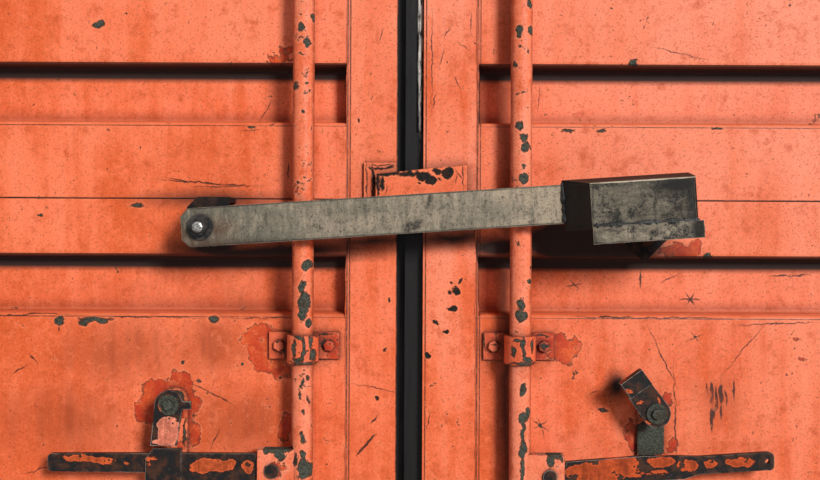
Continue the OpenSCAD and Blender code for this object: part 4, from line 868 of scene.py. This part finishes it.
rubs = noise(tree, place, 260.0, 5.0, 0.7)
bright = blend(tree, ramp(tree, rubs, 0.38, 0.62), (0.09, 0.085, 0.08), (0.42, 0.40, 0.37))
finish(shader, tree, bright, ramp(tree, rubs, 0.3, 0.7, 0.22, 0.45), rubs, 0.0006, 0.85, 0.5)
BOLT_END = [(0.0080, -0.0040), (0.0086, 0.0), (0.0078, 0.0016), (0.0055, 0.0024), (0.001, 0.0026)]
BOLT_THREAD = [(0.0092 + 0.0004 * math.cos(math.pi * i), 0.00045 * i) for i in range(12)]
bolt_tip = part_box("bar_pivot_bolt")[0].y
solid("bolt_end", turned(BOLT_END) + pivot + np.array([0.0, bolt_tip + 0.0005, 0.0]),
      rubbed_steel, "left_leaf")
solid("bolt_thread", turned(BOLT_THREAD, 36) + pivot + np.array([0.0, bolt_tip + 0.0056, 0.0]),
      black_steel, "left_leaf")

# Padlock hood: plates welded into a box over the padlock, on the bar's far end, with a strip welded along
# its lower edge. It is darker than the bar, stained from the top, with rough weld beads left unground. Painted
# shade darkens its top, its left side, its right edge and its corners, and a painted highlight runs along its
# top edge.
HOOD_PALE = (0.180, 0.152, 0.110)
HOOD_MIDDLE = (0.066, 0.054, 0.039)
HOOD_DARK = (0.016, 0.014, 0.012)
HOOD_NEARER = 0.929
HOOD_DARKS = in_photo(HOOD_NEARER,
    (596, 186, 4, 3), (676, 183, 16, 3), (631, 212, 5, 4.5), (603, 206, 1.2, 14), (655, 202, 1.2, 15),
    (680, 205, 2.4, 4), (612, 184, 12, 1.2), (666, 214, 3, 2), (690, 192, 4, 9))
# Painted shade on the hood's right edge and along its top.
HOOD_SHADE = in_photo(HOOD_NEARER, (697, 203, 5, 34), (640, 174, 70, 3.2, 4), (682, 183, 21, 6, 4))
HOOD_EDGES = in_photo(HOOD_NEARER, (592.6, 210, 0.8, 30), (643, 222, 54, 0.8, 3))
# Painted highlight along the hood's top front edge.
HOOD_BRIGHT = in_photo(HOOD_NEARER, (642, 178.8, 52, 0.9, 3.96))
hood_finish = bare_steel("hood_finish", HOOD_PALE, HOOD_MIDDLE, HOOD_DARK, 0.54, HOOD_DARKS, (), HOOD_EDGES,
                         HOOD_SHADE, HOOD_BRIGHT, (1.0, 1.0, 0.22), worn=3.6, slope=-1.3, centre=0.335,
                         shade_on_left=0.95, shade_on_top=0.75)
LIP_PALE = (0.33, 0.275, 0.200)
LIP_MIDDLE = (0.085, 0.068, 0.048)
LIP_NEARER = 0.926
LIP_DARKS = in_photo(LIP_NEARER,
    (686, 230, 4, 7), (594, 238, 2.4, 7), (612, 229, 9, 1.4), (672, 238, 3, 3), (643, 229, 4, 1.4))
# Painted shade at the lip's right end and lower left corner.
LIP_SHADE = in_photo(LIP_NEARER, (699, 228, 6, 12), (591.5, 243, 5, 3))
LIP_EDGES = in_photo(LIP_NEARER,
    (649, 240.6, 58, 0.8, 2), (633.5, 233, 0.6, 9), (628, 231, 0.4, 5), (652, 236, 0.4, 6))
lip_finish = bare_steel("lip_finish", LIP_PALE, LIP_MIDDLE, HOOD_DARK, 0.54, LIP_DARKS, (), LIP_EDGES,
                        LIP_SHADE, (), (1.0, 1.0, 0.4), worn=1.7)
give(hood_finish, "lock_hood")
give(lip_finish, "hood_lip")
weld_steel = bare_steel("weld_steel", (0.15, 0.15, 0.14), (0.060, 0.060, 0.056), (0.015, 0.015, 0.015), 0.50,
                        along=(1.0, 1.0, 1.0), rough=0.35)
LIP_FRONT = 0.2455
HOOD_END, HOOD_END_FRONT = 0.558, 0.1900
LIP_END = 0.7560
bar_up = (-math.sin(TILT), 0.0, math.cos(TILT))
bar_along = (math.cos(TILT), 0.0, math.sin(TILT))
bead("hood_weld", on_bar(0.594, LIP_FRONT, -0.0375), on_bar(0.752, LIP_FRONT, -0.0375), bar_up, (0, -1, 0),
     0.0080, 0.0050, weld_steel, "lock_bar", 0.50, 0.0022, 11)
# The bead at the hood's open end is black steel, painted into the shade that lies there.
bead("hood_end_weld", on_bar(HOOD_END, HOOD_END_FRONT, -0.030), on_bar(HOOD_END, HOOD_END_FRONT, 0.034),
     bar_along, (0, -1, 0), 0.0060, 0.0030, black_steel, "lock_bar", 0.4, 0.0022, 12)
bead("lip_corner_weld", on_bar(LIP_END, LIP_FRONT, -0.062), on_bar(LIP_END, LIP_FRONT, -0.040), bar_along,
     (0, -1, 0), 0.0040, 0.0030, weld_steel, "lock_bar", 0.4, 0.0022, 13)
